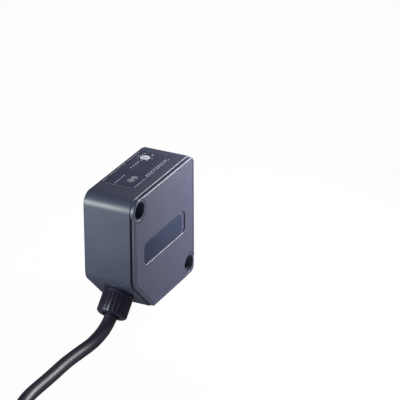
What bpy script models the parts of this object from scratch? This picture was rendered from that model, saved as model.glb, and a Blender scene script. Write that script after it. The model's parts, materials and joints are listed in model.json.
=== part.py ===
"""Block photocell for a gate: a flat square case with a cut corner, gland and cable.

The case stands upright. Its front faces -Y, its back +Y, and +Z is up. The
left-hand side lies in the plane x = 0 and faces +X: it is the side that is
screwed to a post or a bracket. The cover closes the other side. The origin is
the middle of the left-hand side, halfway between the two mounting holes.
"""

import math

import bmesh
import bpy
from mathutils import Matrix, Vector

MM = 0.001

# Case
CASE_LENGTH = 50.0 * MM          # front to back, along Y
CASE_HEIGHT = 50.0 * MM          # along Z
CASE_WIDTH = 21.5 * MM           # along X, over the cover
CUT_CORNER = 15.0 * MM           # legs of the corner cut off at the bottom back
RADIUS_TOP_BACK = 5.0 * MM
RADIUS_TOP_FRONT = 3.2 * MM
RADIUS_BOTTOM_FRONT = 3.0 * MM
RADIUS_CUT_BOTTOM = 3.0 * MM
RADIUS_CUT_BACK = 5.0 * MM
WALL = 2.2 * MM
SIDE_WALL = 2.4 * MM
FACE_STEP = 1.1 * MM             # height of the raised face on the left-hand side
FACE_INSET = 0.35 * MM           # how far raised face and cover stand in from the case
EDGE_CHAMFER = 0.4 * MM
FIT = 0.3 * MM                   # clearance between pieces that are fitted together
CLOSE_FIT = 0.15 * MM            # clearance of thin flat pieces in their seats
ARC_STEPS = 6

# Cover and its seal
COVER_PLATE = 0.9 * MM
SEAL_THICKNESS = 0.5 * MM
SEAL_INSET = 0.9 * MM
SEAL_WIDTH = 1.2 * MM
PLUG_DEPTH = 2.0 * MM
PLUG_WALL = 1.4 * MM
FILM_SHORT = 2.5 * MM            # how far the film stops short of its recess's front end
FILM_THICKNESS = 0.2 * MM
LABEL_RECESS_LENGTH = 33.5 * MM
LABEL_RECESS_HEIGHT = 9.2 * MM
LABEL_RECESS_DEPTH = 0.4 * MM
LABEL_RADIUS = 2.2 * MM
LABEL_RISE = 0.3 * MM            # the recess sits a little above the middle
GROOVE_WIDTH = 0.4 * MM
GROOVE_DEPTH = 0.4 * MM

# Mounting holes
HOLE_INSET = 5.0 * MM            # from the case's edges, which makes a pitch of 40 mm
HOLE_RADIUS = 2.6 * MM
HEAD_RADIUS = 3.5 * MM           # the sunk seat for a screw head
HEAD_DEPTH = 5.0 * MM
NECK_RADIUS = 4.7 * MM           # what shows round each hole on the cover's side
NECK_SUNK = 0.1 * MM
TOWER_RADIUS = 6.3 * MM          # carries the seal inside the case

# Front window and optics
WINDOW_WIDTH = 15.0 * MM
WINDOW_HEIGHT = 27.5 * MM
WINDOW_CENTRE_Z = -2.3 * MM
WINDOW_THICKNESS = 1.4 * MM
WINDOW_LEDGE = 1.0 * MM
WINDOW_RADIUS = 1.0 * MM
LENS_PITCH = 12.0 * MM
LENS_RADIUS = 5.2 * MM
LENS_BULGE = 1.8 * MM
LENS_PLATE = 1.2 * MM
HOLDER_DEPTH = 9.0 * MM
HOLDER_WALL = 1.2 * MM
EMITTER_RADIUS = 1.5 * MM
SENSOR_COMPONENT_DEPTH = 3.0 * MM
BOARD_THICKNESS = 1.2 * MM

# Boards
MAIN_BOARD_STANDOFF = 1.8 * MM
MAIN_BOARD_LOW_Z = -12.0 * MM
MAIN_BOARD_SETBACK = 10.6 * MM   # from the case's back to the board's back edge
STANDOFF_RADIUS = 1.6 * MM
CONTROL_BOARD_TOP_Z = 17.6 * MM
CONTROL_BOARD_SETBACK = 14.5 * MM
HEADER_PITCH = 1.7 * MM
HEADER_DEPTH = 4.0 * MM
HEADER_HEIGHT = 2.8 * MM
HEADER_SETBACK = 10.8 * MM       # from the board's back edge
HEADER_RISE = 1.7 * MM           # from the board's low edge

# Top panel, adjuster and indicators
PANEL_WIDTH = 13.7 * MM
PANEL_FRONT_MARGIN = 6.7 * MM    # from the case's front to the panel
PANEL_BACK_MARGIN = 11.9 * MM
PANEL_CENTRE_X = -8.4 * MM
PANEL_RECESS = 0.45 * MM
PANEL_THICKNESS = 0.4 * MM
PANEL_RADIUS = 1.0 * MM
ADJUSTER_X = -5.9 * MM
ADJUSTER_MARGIN = 4.5 * MM       # from the panel's front end to the adjuster's middle
ROTOR_RADIUS = 2.0 * MM
ROTOR_HEAD = 1.4 * MM
ROTOR_STEM_RADIUS = 1.0 * MM
ROTOR_PROUD = 0.1 * MM
SLOT_WIDTH = 0.7 * MM
SLOT_LENGTH = 3.0 * MM
SLOT_DEPTH = 0.7 * MM
ADJUSTER_BODY_RADIUS = 3.2 * MM
ADJUSTER_BODY_HEIGHT = 3.6 * MM
GUIDE_RADIUS = 0.65 * MM
GUIDE_X = -11.0 * MM
GUIDE_MARGIN = 5.9 * MM          # from the panel's back end to the first guide
GUIDE_PITCH = 2.8 * MM
INDICATOR_HEIGHT = 0.8 * MM

# Gland, measured outwards from the cut corner's face
GLAND_BODY_RADIUS = 4.8 * MM
GLAND_BORE_RADIUS = 4.0 * MM
GLAND_BODY_REACH = 7.0 * MM
GLAND_FLANGE_RADIUS = 6.2 * MM
GLAND_FLANGE = 1.4 * MM
NUT_RADIUS = 6.0 * MM
NUT_RIB_HEIGHT = 0.35 * MM
NUT_RIBS = 24
NUT_LENGTH = 9.2 * MM
NUT_COLLAR = 1.6 * MM
NUT_END_WALL = 1.8 * MM
NUT_END_HOLE = 3.4 * MM
NUT_CHAMFER = 0.5 * MM
CLAMP_LENGTH = 2.0 * MM
CLAMP_WALL = 1.2 * MM
CABLE_INSIDE = 8.6 * MM          # how far the cable reaches in behind the cut corner's face

# Cable
CABLE_RADIUS = 2.5 * MM
SURFACE_Z = -34.0 * MM           # what the cable lies on
COIL_CENTRE = (9.0 * MM, 131.5 * MM)
COIL_TURN_RADIUS = 25.0 * MM
COIL_COLUMNS = 2
COIL_LAYERS = 7
COIL_LIFT = 1.2 * MM             # the tie passes under the coil
COIL_TOUCH = 0.2 * MM            # brings the cable's square-cut ends up to the round coil
TIE_WIDTH = 3.0 * MM
TIE_THICKNESS = 0.7 * MM
LEAD_RADIUS = 0.65 * MM
LEAD_LENGTH = 20.0 * MM
LEAD_SPREAD = 0.9 * MM
LEAD_TIP_RADIUS = 0.4 * MM
LEAD_TIP_LENGTH = 7.0 * MM
WIRE_COUNT = 5
WIRE_RADIUS = 0.5 * MM

# Places worked out from the sizes above
HALF_LENGTH = CASE_LENGTH / 2
HALF_HEIGHT = CASE_HEIGHT / 2
HOLE_Y = HALF_LENGTH - HOLE_INSET
HOLE_Z = HALF_HEIGHT - HOLE_INSET
COVER_INNER_X = -CASE_WIDTH + COVER_PLATE
CASE_OPEN_X = COVER_INNER_X + SEAL_THICKNESS + 2 * CLOSE_FIT
MIDDLE_X = -CASE_WIDTH / 2
INNER_SIDE_X = -SIDE_WALL
HOLE_PLACES = ((HOLE_Y, HOLE_Z), (-HOLE_Y, -HOLE_Z))
GLAND_BASE = Vector((MIDDLE_X, HALF_LENGTH - CUT_CORNER / 2, -HALF_HEIGHT + CUT_CORNER / 2))
GLAND_AXIS = Vector((0.0, 1.0, -1.0)).normalized()
GLAND_END = NUT_LENGTH + FIT
PANEL_FRONT_Y = -HALF_LENGTH + PANEL_FRONT_MARGIN
PANEL_BACK_Y = HALF_LENGTH - PANEL_BACK_MARGIN
PANEL_LENGTH = PANEL_BACK_Y - PANEL_FRONT_Y
PANEL_CENTRE_Y = (PANEL_BACK_Y + PANEL_FRONT_Y) / 2
ADJUSTER_Y = PANEL_FRONT_Y + ADJUSTER_MARGIN
GUIDE_Y = (PANEL_BACK_Y - GUIDE_MARGIN, PANEL_BACK_Y - GUIDE_MARGIN - GUIDE_PITCH)
MAIN_BOARD_BACK_Y = HALF_LENGTH - MAIN_BOARD_SETBACK
CONTROL_BOARD_BACK_Y = HALF_LENGTH - CONTROL_BOARD_SETBACK
HEADER_BACK_Y = MAIN_BOARD_BACK_Y - HEADER_SETBACK
HEADER_Z = MAIN_BOARD_LOW_Z + HEADER_RISE
MAIN_BOARD_FACE_X = INNER_SIDE_X - MAIN_BOARD_STANDOFF - BOARD_THICKNESS
CONTROL_BOARD_LOW_Z = CONTROL_BOARD_TOP_Z - BOARD_THICKNESS
LENS_FACE_Y = -HALF_LENGTH + WALL + FIT
HOLDER_FRONT_Y = LENS_FACE_Y + LENS_BULGE + LENS_PLATE + FIT
HOLDER_BACK_Y = HOLDER_FRONT_Y + HOLDER_DEPTH
SENSOR_BOARD_Y = HOLDER_BACK_Y + FIT
MAIN_BOARD_FRONT_Y = SENSOR_BOARD_Y + BOARD_THICKNESS + FIT
MAIN_BOARD_LENGTH = MAIN_BOARD_BACK_Y - MAIN_BOARD_FRONT_Y
MAIN_BOARD_HIGH_Z = CONTROL_BOARD_LOW_Z - FIT
MAIN_BOARD_HEIGHT = MAIN_BOARD_HIGH_Z - MAIN_BOARD_LOW_Z
COMPONENT_BASE_X = MAIN_BOARD_FACE_X - CLOSE_FIT
COMPONENT_ROOM = COMPONENT_BASE_X - COVER_INNER_X - PLUG_DEPTH - FIT
OPTICS_LOW_Z = -HOLE_Z + TOWER_RADIUS + FIT
OPTICS_HIGH_Z = WINDOW_CENTRE_Z + WINDOW_HEIGHT / 2
OPTICS_CENTRE_Z = (OPTICS_LOW_Z + OPTICS_HIGH_Z) / 2
OPTICS_LOW_X = COVER_INNER_X + PLUG_DEPTH + FIT
OPTICS_HIGH_X = INNER_SIDE_X - FIT
COIL_HALF_BAND = COIL_COLUMNS * CABLE_RADIUS
COIL_OUTER = COIL_TURN_RADIUS + COIL_HALF_BAND
COIL_HEIGHT = COIL_LAYERS * 2 * CABLE_RADIUS
COIL_LOW_Z = SURFACE_Z + COIL_LIFT


# Materials

def make_material(name, colour, roughness, metallic=0.0):
    material = bpy.data.materials.new(name)
    material.use_nodes = True
    shader = material.node_tree.nodes["Principled BSDF"]
    shader.inputs["Base Color"].default_value = (*colour, 1.0)
    shader.inputs["Roughness"].default_value = roughness
    shader.inputs["Metallic"].default_value = metallic
    material.diffuse_color = (*colour, 1.0)
    return material


def make_materials():
    recipes = {
        "case_plastic": ((0.075, 0.085, 0.125), 0.45),
        "cover_plastic": ((0.115, 0.115, 0.15), 0.5),
        "dark_window": ((0.012, 0.008, 0.012), 0.1),
        "clear_lens": ((0.55, 0.50, 0.52), 0.05),
        "black_plastic": ((0.012, 0.011, 0.016), 0.4),
        "panel_film": ((0.045, 0.045, 0.08), 0.35),
        "blue_film": ((0.025, 0.045, 0.10), 0.35),
        "white_plastic": ((0.78, 0.78, 0.82), 0.35),
        "green_board": ((0.02, 0.16, 0.06), 0.5),
        "relay_blue": ((0.03, 0.10, 0.32), 0.4),
        "capacitor_sleeve": ((0.02, 0.02, 0.03), 0.3),
        "capacitor_yellow": ((0.62, 0.42, 0.04), 0.45),
        "varistor_blue": ((0.02, 0.12, 0.42), 0.45),
        "ferrite": ((0.03, 0.028, 0.028), 0.7),
        "chip_black": ((0.015, 0.015, 0.016), 0.5),
        "indicator_green": ((0.05, 0.55, 0.12), 0.2),
        "indicator_orange": ((0.80, 0.22, 0.02), 0.2),
        "clear_guide": ((0.75, 0.77, 0.80), 0.08),
        "seal_rubber": ((0.015, 0.015, 0.02), 0.7),
        "cable_sheath": ((0.013, 0.012, 0.018), 0.5),
        "tie_plastic": ((0.02, 0.02, 0.022), 0.4),
        "wire_brown": ((0.16, 0.06, 0.02), 0.45),
        "wire_blue": ((0.02, 0.10, 0.45), 0.45),
        "wire_white": ((0.75, 0.75, 0.73), 0.45),
        "wire_black": ((0.012, 0.012, 0.013), 0.45),
        "wire_grey": ((0.25, 0.25, 0.26), 0.45),
    }
    made = {name: make_material(name, *recipe) for name, recipe in recipes.items()}
    made["tinned_copper"] = make_material("tinned_copper", (0.62, 0.60, 0.57), 0.3, 1.0)
    return made


# Mesh helpers

def finish(name, mesh_builder, material, smooth=True):
    """Turns a bmesh into an object with one material, faces pointing out."""
    bmesh.ops.recalc_face_normals(mesh_builder, faces=mesh_builder.faces)
    mesh = bpy.data.meshes.new(name)
    mesh_builder.to_mesh(mesh)
    mesh_builder.free()
    if material is not None:
        mesh.materials.append(material)
    if smooth:
        mesh.shade_smooth()
        mesh.set_sharp_from_angle(angle=math.radians(32))
    thing = bpy.data.objects.new(name, mesh)
    bpy.context.collection.objects.link(thing)
    return thing


def loft(loops):
    """Joins closed loops with the same number of points, and caps both ends."""
    builder = bmesh.new()
    rings = [[builder.verts.new(point) for point in loop] for loop in loops]
    count = len(rings[0])
    for first, second in zip(rings, rings[1:]):
        for i in range(count):
            j = (i + 1) % count
            builder.faces.new((first[i], first[j], second[j], second[i]))
    builder.faces.new(rings[0])
    builder.faces.new(list(reversed(rings[-1])))
    return builder


def box_mesh(low, high):
    builder = bmesh.new()
    bmesh.ops.create_cube(builder, size=1.0)
    low, high = Vector(low), Vector(high)
    for vertex in builder.verts:
        share = vertex.co + Vector((0.5, 0.5, 0.5))
        vertex.co = low + Vector(s * d for s, d in zip(share, high - low))
    return builder


def box(name, low, high, material=None):
    return finish(name, box_mesh(low, high), material, smooth=False)


def turned(name, profile, material=None, steps=32, base=None, axis=None):
    """Spins a closed (radius, height) outline about a line through base along axis."""
    builder = bmesh.new()
    points = [builder.verts.new((radius, 0.0, height)) for radius, height in profile]
    edges = [builder.edges.new((a, b)) for a, b in zip(points, points[1:] + points[:1])]
    bmesh.ops.spin(builder, geom=points + edges, cent=(0, 0, 0), axis=(0, 0, 1),
                   angle=2 * math.pi, steps=steps, use_merge=True, use_duplicate=False)
    bmesh.ops.remove_doubles(builder, verts=builder.verts, dist=1e-7)
    flat = [edge for edge in builder.edges if not edge.link_faces]
    bmesh.ops.delete(builder, geom=flat, context="EDGES")
    place_along(builder, base, axis)
    return finish(name, builder, material)


def place_along(builder, base, axis):
    turn = Matrix.Identity(4)
    if axis is not None:
        turn = Vector((0, 0, 1)).rotation_difference(Vector(axis)).to_matrix().to_4x4()
    shift = Matrix.Translation(Vector(base)) if base is not None else Matrix.Identity(4)
    bmesh.ops.transform(builder, matrix=shift @ turn, verts=builder.verts)


def rod(name, radius, base, axis, length, material=None, steps=32):
    """A plain cylinder that starts at base and runs along axis."""
    builder = bmesh.new()
    bmesh.ops.create_cone(builder, cap_ends=True, segments=steps, radius1=radius,
                          radius2=radius, depth=length)
    bmesh.ops.translate(builder, vec=(0, 0, length / 2), verts=builder.verts)
    place_along(builder, base, axis)
    return finish(name, builder, material)


def ring(name, inner, outer, base, axis, length, material=None, steps=32):
    profile = ((inner, 0.0), (outer, 0.0), (outer, length), (inner, length))
    return turned(name, profile, material, steps, base, axis)


def combine(thing, tool, operation):
    """Adds a Boolean to thing, and keeps its tool out of the finished part."""
    step = thing.modifiers.new(tool.name, "BOOLEAN")
    step.operation = operation
    step.solver = "EXACT"
    step.object = tool
    tool.hide_render = True
    tool.display_type = "WIRE"


def cut(thing, *tools):
    for tool in tools:
        combine(thing, tool, "DIFFERENCE")


def add(thing, *tools):
    for tool in tools:
        combine(thing, tool, "UNION")


# Outlines

def rounded_corner(before, corner, after, radius, steps=ARC_STEPS):
    """Points of an arc that rounds a corner of a plane outline, walked in order."""
    if radius <= 1e-6:
        return [corner]
    to_before = (before - corner).normalized()
    to_after = (after - corner).normalized()
    half = to_before.angle(to_after) / 2
    centre = corner + (to_before + to_after).normalized() * (radius / math.sin(half))
    start = corner + to_before * (radius / math.tan(half)) - centre
    end = corner + to_after * (radius / math.tan(half)) - centre
    sweep = start.angle(end)
    normal = start.cross(end).normalized()
    return [centre + Matrix.Rotation(sweep * i / steps, 3, normal) @ start
            for i in range(steps + 1)]


def side_outline(inset, x):
    """The case seen from its side, drawn in by inset, as a loop in the plane x."""
    front, back = -HALF_LENGTH + inset, HALF_LENGTH - inset
    low, high = -HALF_HEIGHT + inset, HALF_HEIGHT - inset
    drawn_in = CUT_CORNER - inset * (2 - math.sqrt(2))
    corners = (
        ((back, high), RADIUS_TOP_BACK),
        ((front, high), RADIUS_TOP_FRONT),
        ((front, low), RADIUS_BOTTOM_FRONT),
        ((back - drawn_in, low), RADIUS_CUT_BOTTOM),
        ((back, low + drawn_in), RADIUS_CUT_BACK),
    )
    places = [Vector((x, y, z)) for (y, z), _ in corners]
    loop = []
    for i, (_, radius) in enumerate(corners):
        before, after = places[i - 1], places[(i + 1) % len(places)]
        loop += rounded_corner(before, places[i], after, max(radius - inset, 0.3 * MM))
    return loop


def side_slab(name, sections, material=None):
    """A solid with the case's side outline at each (x, inset)."""
    return finish(name, loft([side_outline(inset, x) for x, inset in sections]), material)


def rounded_plate(name, centre, across, along, thickness, size, radius, material=None):
    """A rounded rectangle with its middle at centre, made thick along one more axis."""
    across, along, out = Vector(across), Vector(along), Vector(thickness)
    corners = [Vector(centre) + across * (sx * size[0] / 2) + along * (sy * size[1] / 2)
               for sx, sy in ((1, 1), (-1, 1), (-1, -1), (1, -1))]
    loop = []
    for i in range(4):
        loop += rounded_corner(corners[i - 1], corners[i], corners[(i + 1) % 4], radius, 4)
    return finish(name, loft([loop, [point + out for point in loop]]), material)


def tube(name, points, radius, material, resolution=2):
    """A cord through points, as a curve with filled caps."""
    curve = bpy.data.curves.new(name, "CURVE")
    curve.dimensions = "3D"
    curve.bevel_depth = radius
    curve.bevel_resolution = resolution
    curve.use_fill_caps = True
    line = curve.splines.new("POLY")
    line.points.add(len(points) - 1)
    for place, point in zip(line.points, points):
        place.co = (*point, 1.0)
    curve.materials.append(material)
    thing = bpy.data.objects.new(name, curve)
    bpy.context.collection.objects.link(thing)
    return thing


def smooth_route(stops, spacing):
    """Reads points off the smooth curve that passes through the stops."""
    stops = [Vector(stop) for stop in stops]
    first = stops[0] * 2 - stops[1]
    last = stops[-1] * 2 - stops[-2]
    padded = [first, *stops, last]
    points = [stops[0]]
    for p0, p1, p2, p3 in zip(padded, padded[1:], padded[2:], padded[3:]):
        pieces = max(1, round((p2 - p1).length / spacing))
        for i in range(1, pieces + 1):
            t = i / pieces
            points.append(0.5 * (2 * p1 + (p2 - p0) * t
                                 + (2 * p0 - 5 * p1 + 4 * p2 - p3) * t ** 2
                                 + (3 * p1 - p0 - 3 * p2 + p3) * t ** 3))
    return points


# Case

def window_block(name, shrink, y_front, y_back):
    """A block with the front window's outline, shrunk on every side."""
    size = (WINDOW_WIDTH - 2 * shrink, WINDOW_HEIGHT - 2 * shrink)
    return rounded_plate(name, (MIDDLE_X, y_front, WINDOW_CENTRE_Z), (1, 0, 0), (0, 0, 1),
                         (0, y_back - y_front, 0), size, WINDOW_RADIUS)


def cut_case_openings(case):
    """Window seat and light opening, panel recess, control holes and gland hole."""
    seat_back = -HALF_LENGTH + WINDOW_THICKNESS
    cut(case, window_block("window_seat_cut", 0.0, -HALF_LENGTH - MM, seat_back))
    cut(case, window_block("window_light_cut", WINDOW_LEDGE, -HALF_LENGTH - MM,
                           -HALF_LENGTH + WALL + MM))
    panel_floor = HALF_HEIGHT - PANEL_RECESS
    cut(case, rounded_plate("panel_recess_cut", (PANEL_CENTRE_X, PANEL_CENTRE_Y, panel_floor),
                            (1, 0, 0), (0, 1, 0), (0, 0, 2 * MM),
                            (PANEL_WIDTH, PANEL_LENGTH), PANEL_RADIUS))
    below = HALF_HEIGHT - WALL - MM
    cut(case, rod("adjuster_hole_cut", ROTOR_RADIUS + FIT, (ADJUSTER_X, ADJUSTER_Y, below),
                  (0, 0, 1), WALL + 2 * MM, steps=24))
    for i, y in enumerate(GUIDE_Y):
        cut(case, rod(f"guide_hole_cut_{i}", GUIDE_RADIUS + FIT, (GUIDE_X, y, below),
                      (0, 0, 1), WALL + 2 * MM, steps=16))
    cut(case, rod("gland_hole_cut", GLAND_BODY_RADIUS + FIT,
                  GLAND_BASE - GLAND_AXIS * (WALL + MM), GLAND_AXIS, WALL + 2 * MM))


def cut_mounting_holes(case):
    """The two through holes, each with a sunk seat at both ends."""
    left_seat, right_seat = -HEAD_DEPTH, -CASE_WIDTH + HEAD_DEPTH
    for i, (y, z) in enumerate(HOLE_PLACES):
        cut(case, rod(f"bore_cut_{i}", HOLE_RADIUS, (MM, y, z), (-1, 0, 0),
                      CASE_WIDTH + 2 * MM, steps=24))
        cut(case, rod(f"left_seat_cut_{i}", HEAD_RADIUS, (left_seat, y, z), (1, 0, 0),
                      HEAD_DEPTH + MM, steps=32))
        cut(case, rod(f"right_seat_cut_{i}", HEAD_RADIUS, (right_seat, y, z), (-1, 0, 0),
                      HEAD_DEPTH + MM, steps=32))
        cut(case, ring(f"left_ring_cut_{i}", NECK_RADIUS, NECK_RADIUS + GROOVE_WIDTH,
                       (-GROOVE_DEPTH, y, z), (1, 0, 0), GROOVE_DEPTH + MM, steps=40))


def outline_groove(name, face_x, outwards):
    """The rounded frame of a shallow groove round the label's place on a side face."""
    outer = rounded_plate(name, (face_x - outwards * GROOVE_WIDTH / 2, 0, LABEL_RISE),
                          (0, 1, 0), (0, 0, 1), (outwards * MM, 0, 0),
                          (LABEL_RECESS_LENGTH, LABEL_RECESS_HEIGHT), LABEL_RADIUS)
    inner_size = (LABEL_RECESS_LENGTH - 2 * GROOVE_WIDTH,
                  LABEL_RECESS_HEIGHT - 2 * GROOVE_WIDTH)
    cut(outer, rounded_plate(name + "_core", (face_x - outwards * MM, 0, LABEL_RISE),
                             (0, 1, 0), (0, 0, 1), (outwards * 3 * MM, 0, 0),
                             inner_size, LABEL_RADIUS - GROOVE_WIDTH))
    return outer


def make_case(materials):
    """The moulded shell, open towards the cover, with towers round the mounting holes."""
    case = side_slab("case", (
        (CASE_OPEN_X, 0.0),
        (-FACE_STEP, 0.0),
        (-FACE_STEP + 0.02 * MM, FACE_INSET),
        (-EDGE_CHAMFER, FACE_INSET),
        (0.0, FACE_INSET + EDGE_CHAMFER),
    ), materials["case_plastic"])
    cut(case, side_slab("cavity_cut", ((CASE_OPEN_X - MM, WALL), (INNER_SIDE_X, WALL))))
    for i, (y, z) in enumerate(HOLE_PLACES):
        add(case, make_tower(i, y, z))
    for i, (y, z) in enumerate(standoff_places()):
        add(case, rod(f"standoff_{i}", STANDOFF_RADIUS, (INNER_SIDE_X + MM, y, z), (-1, 0, 0),
                      MAIN_BOARD_STANDOFF - FIT + MM, steps=16))
    cut_mounting_holes(case)
    cut_case_openings(case)
    cut(case, outline_groove("left_outline_cut", 0.0, 1))
    return case


def corner_block(name, y, z, low_x, high_x):
    """A block from a mounting hole's middle out past the corner beside it."""
    out_y, out_z = y + math.copysign(HEAD_RADIUS * 2, y), z + math.copysign(HEAD_RADIUS * 2, z)
    return box(name, (low_x, min(y, out_y), min(z, out_z)), (high_x, max(y, out_y), max(z, out_z)))


def make_tower(i, y, z):
    """A screw tower: broad inside the case, with a neck that passes through the cover."""
    foot_x, neck_x = INNER_SIDE_X + MM, -CASE_WIDTH + NECK_SUNK
    tower = side_slab(f"tower_{i}", ((CASE_OPEN_X, 0.3 * WALL), (foot_x, 0.3 * WALL)))
    combine(tower, rod(f"tower_round_{i}", TOWER_RADIUS, (foot_x + MM, y, z), (-1, 0, 0),
                       foot_x - CASE_OPEN_X + 2 * MM, steps=40), "INTERSECT")
    neck = side_slab(f"neck_{i}", ((neck_x, FACE_INSET + EDGE_CHAMFER),
                                   (neck_x + EDGE_CHAMFER, FACE_INSET), (foot_x, FACE_INSET)))
    post = rod(f"neck_round_{i}", NECK_RADIUS, (foot_x + MM, y, z), (-1, 0, 0),
               foot_x - neck_x + 2 * MM, steps=40)
    add(post, corner_block(f"neck_corner_{i}", y, z, neck_x - MM, foot_x + MM))
    combine(neck, post, "INTERSECT")
    add(tower, neck)
    return tower


def standoff_places():
    """Where the main board rests on the case's side wall."""
    inset = 2.2 * MM
    front = MAIN_BOARD_FRONT_Y + inset
    back = MAIN_BOARD_BACK_Y - inset
    low = MAIN_BOARD_LOW_Z + inset
    high = MAIN_BOARD_HIGH_Z - inset
    return ((front, low), (back, low), (front, high), (back, high))


# Cover, seal and labels

def make_cover(materials):
    """The flat cover with a rib behind it that plugs into the case."""
    outer_x = -CASE_WIDTH
    cover = side_slab("side_cover", (
        (outer_x, FACE_INSET + EDGE_CHAMFER),
        (outer_x + EDGE_CHAMFER, FACE_INSET),
        (COVER_INNER_X, FACE_INSET),
    ), materials["cover_plastic"])
    rib_inset = WALL + FIT
    rib = side_slab("cover_rib", ((COVER_INNER_X - 0.3 * MM, rib_inset),
                                  (COVER_INNER_X + PLUG_DEPTH, rib_inset)))
    cut(rib, side_slab("cover_rib_core", ((COVER_INNER_X - MM, rib_inset + PLUG_WALL),
                                          (COVER_INNER_X + PLUG_DEPTH + MM, rib_inset + PLUG_WALL))))
    for i, (y, z) in enumerate(HOLE_PLACES):
        cut(rib, rod(f"rib_tower_cut_{i}", TOWER_RADIUS + FIT, (COVER_INNER_X - MM, y, z),
                     (1, 0, 0), PLUG_DEPTH + 3 * MM, steps=40))
    add(cover, rib)
    for i, (y, z) in enumerate(HOLE_PLACES):
        cut(cover, rod(f"cover_hole_cut_{i}", NECK_RADIUS + FIT, (outer_x - MM, y, z),
                       (1, 0, 0), CASE_WIDTH, steps=40),
            corner_block(f"cover_corner_cut_{i}", y, z, outer_x - MM, 0.0))
    cut(cover, rounded_plate("label_recess_cut", (outer_x - MM, 0, LABEL_RISE), (0, 1, 0),
                             (0, 0, 1), (MM + LABEL_RECESS_DEPTH, 0, 0),
                             (LABEL_RECESS_LENGTH, LABEL_RECESS_HEIGHT), LABEL_RADIUS))
    return cover


def make_seal(materials):
    """The flat gasket in the seam; it follows the wall and passes inside the two towers."""
    x_case, x_cover = CASE_OPEN_X - CLOSE_FIT, COVER_INNER_X + CLOSE_FIT
    seal = side_slab("cover_seal", ((x_cover, SEAL_INSET), (x_case, SEAL_INSET)),
                     materials["seal_rubber"])
    inner = SEAL_INSET + SEAL_WIDTH
    core = side_slab("seal_core", ((x_cover - MM, inner), (x_case + MM, inner)))
    for i, (y, z) in enumerate(HOLE_PLACES):
        start, length = (x_cover - 2 * MM, y, z), SEAL_THICKNESS + 4 * MM
        cut(core, rod(f"seal_bypass_{i}", NECK_RADIUS + FIT + SEAL_WIDTH, start,
                      (1, 0, 0), length, steps=40))
        cut(seal, rod(f"seal_hole_cut_{i}", NECK_RADIUS + FIT, start, (1, 0, 0), length,
                      steps=40))
    cut(seal, core)
    return seal


def make_side_film(materials):
    """The blue film in the cover's recess; it stops short of the recess's front end."""
    floor_x = -CASE_WIDTH + LABEL_RECESS_DEPTH - CLOSE_FIT
    length = LABEL_RECESS_LENGTH - FILM_SHORT
    height = LABEL_RECESS_HEIGHT - 2 * FIT
    middle_y = FILM_SHORT / 2 - FIT
    return rounded_plate("side_label", (floor_x, middle_y, LABEL_RISE), (0, 1, 0), (0, 0, 1),
                         (-FILM_THICKNESS, 0, 0), (length, height),
                         LABEL_RADIUS - CLOSE_FIT, materials["blue_film"])


def make_top_panel(materials):
    """The printed panel in the top's recess, with holes for the adjuster and the guides."""
    low = HALF_HEIGHT - PANEL_RECESS + CLOSE_FIT
    panel = rounded_plate("top_panel", (PANEL_CENTRE_X, PANEL_CENTRE_Y, low), (1, 0, 0),
                          (0, 1, 0), (0, 0, PANEL_THICKNESS),
                          (PANEL_WIDTH - 2 * CLOSE_FIT, PANEL_LENGTH - 2 * CLOSE_FIT),
                          PANEL_RADIUS - CLOSE_FIT, materials["panel_film"])
    cut(panel, rod("panel_adjuster_cut", ROTOR_RADIUS + FIT, (ADJUSTER_X, ADJUSTER_Y, low - MM),
                   (0, 0, 1), 3 * MM, steps=24))
    for i, y in enumerate(GUIDE_Y):
        cut(panel, rod(f"panel_guide_cut_{i}", GUIDE_RADIUS + CLOSE_FIT, (GUIDE_X, y, low - MM),
                       (0, 0, 1), 3 * MM, steps=16))
    return panel


# Optics

def lens_places():
    return (OPTICS_CENTRE_Z + LENS_PITCH / 2, OPTICS_CENTRE_Z - LENS_PITCH / 2)


def optics_box(name, y_front, depth, material):
    """A block as wide and high as the light opening allows beside the lower tower."""
    return box(name, (OPTICS_LOW_X, y_front, OPTICS_LOW_Z),
               (OPTICS_HIGH_X, y_front + depth, OPTICS_HIGH_Z), material)


def make_window(materials):
    """The dark front window, flush with the case's front."""
    size = (WINDOW_WIDTH - 2 * FIT, WINDOW_HEIGHT - 2 * FIT)
    return rounded_plate("front_window", (MIDDLE_X, -HALF_LENGTH, WINDOW_CENTRE_Z), (1, 0, 0),
                         (0, 0, 1), (0, WINDOW_THICKNESS - FIT, 0), size,
                         WINDOW_RADIUS - CLOSE_FIT, materials["dark_window"])


def dome_profile():
    """A lens bulge as a turned outline: a cap of a ball on a short cylinder."""
    ball = (LENS_RADIUS ** 2 + LENS_BULGE ** 2) / (2 * LENS_BULGE)
    reach = math.asin(LENS_RADIUS / ball)
    outline = [(0.0, -0.5 * LENS_PLATE), (LENS_RADIUS, -0.5 * LENS_PLATE)]
    for i in range(7):
        angle = reach * (1 - i / 6)
        outline.append((ball * math.sin(angle), ball * math.cos(angle) - ball + LENS_BULGE))
    return outline


def make_lens(materials):
    """One clear moulding with two round lenses."""
    plate_y = LENS_FACE_Y + LENS_BULGE
    lens = optics_box("lens", plate_y, LENS_PLATE, materials["clear_lens"])
    for i, z in enumerate(lens_places()):
        add(lens, turned(f"lens_dome_{i}", dome_profile(), None, 28,
                         (MIDDLE_X, plate_y, z), (0, -1, 0)))
    return lens


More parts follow.
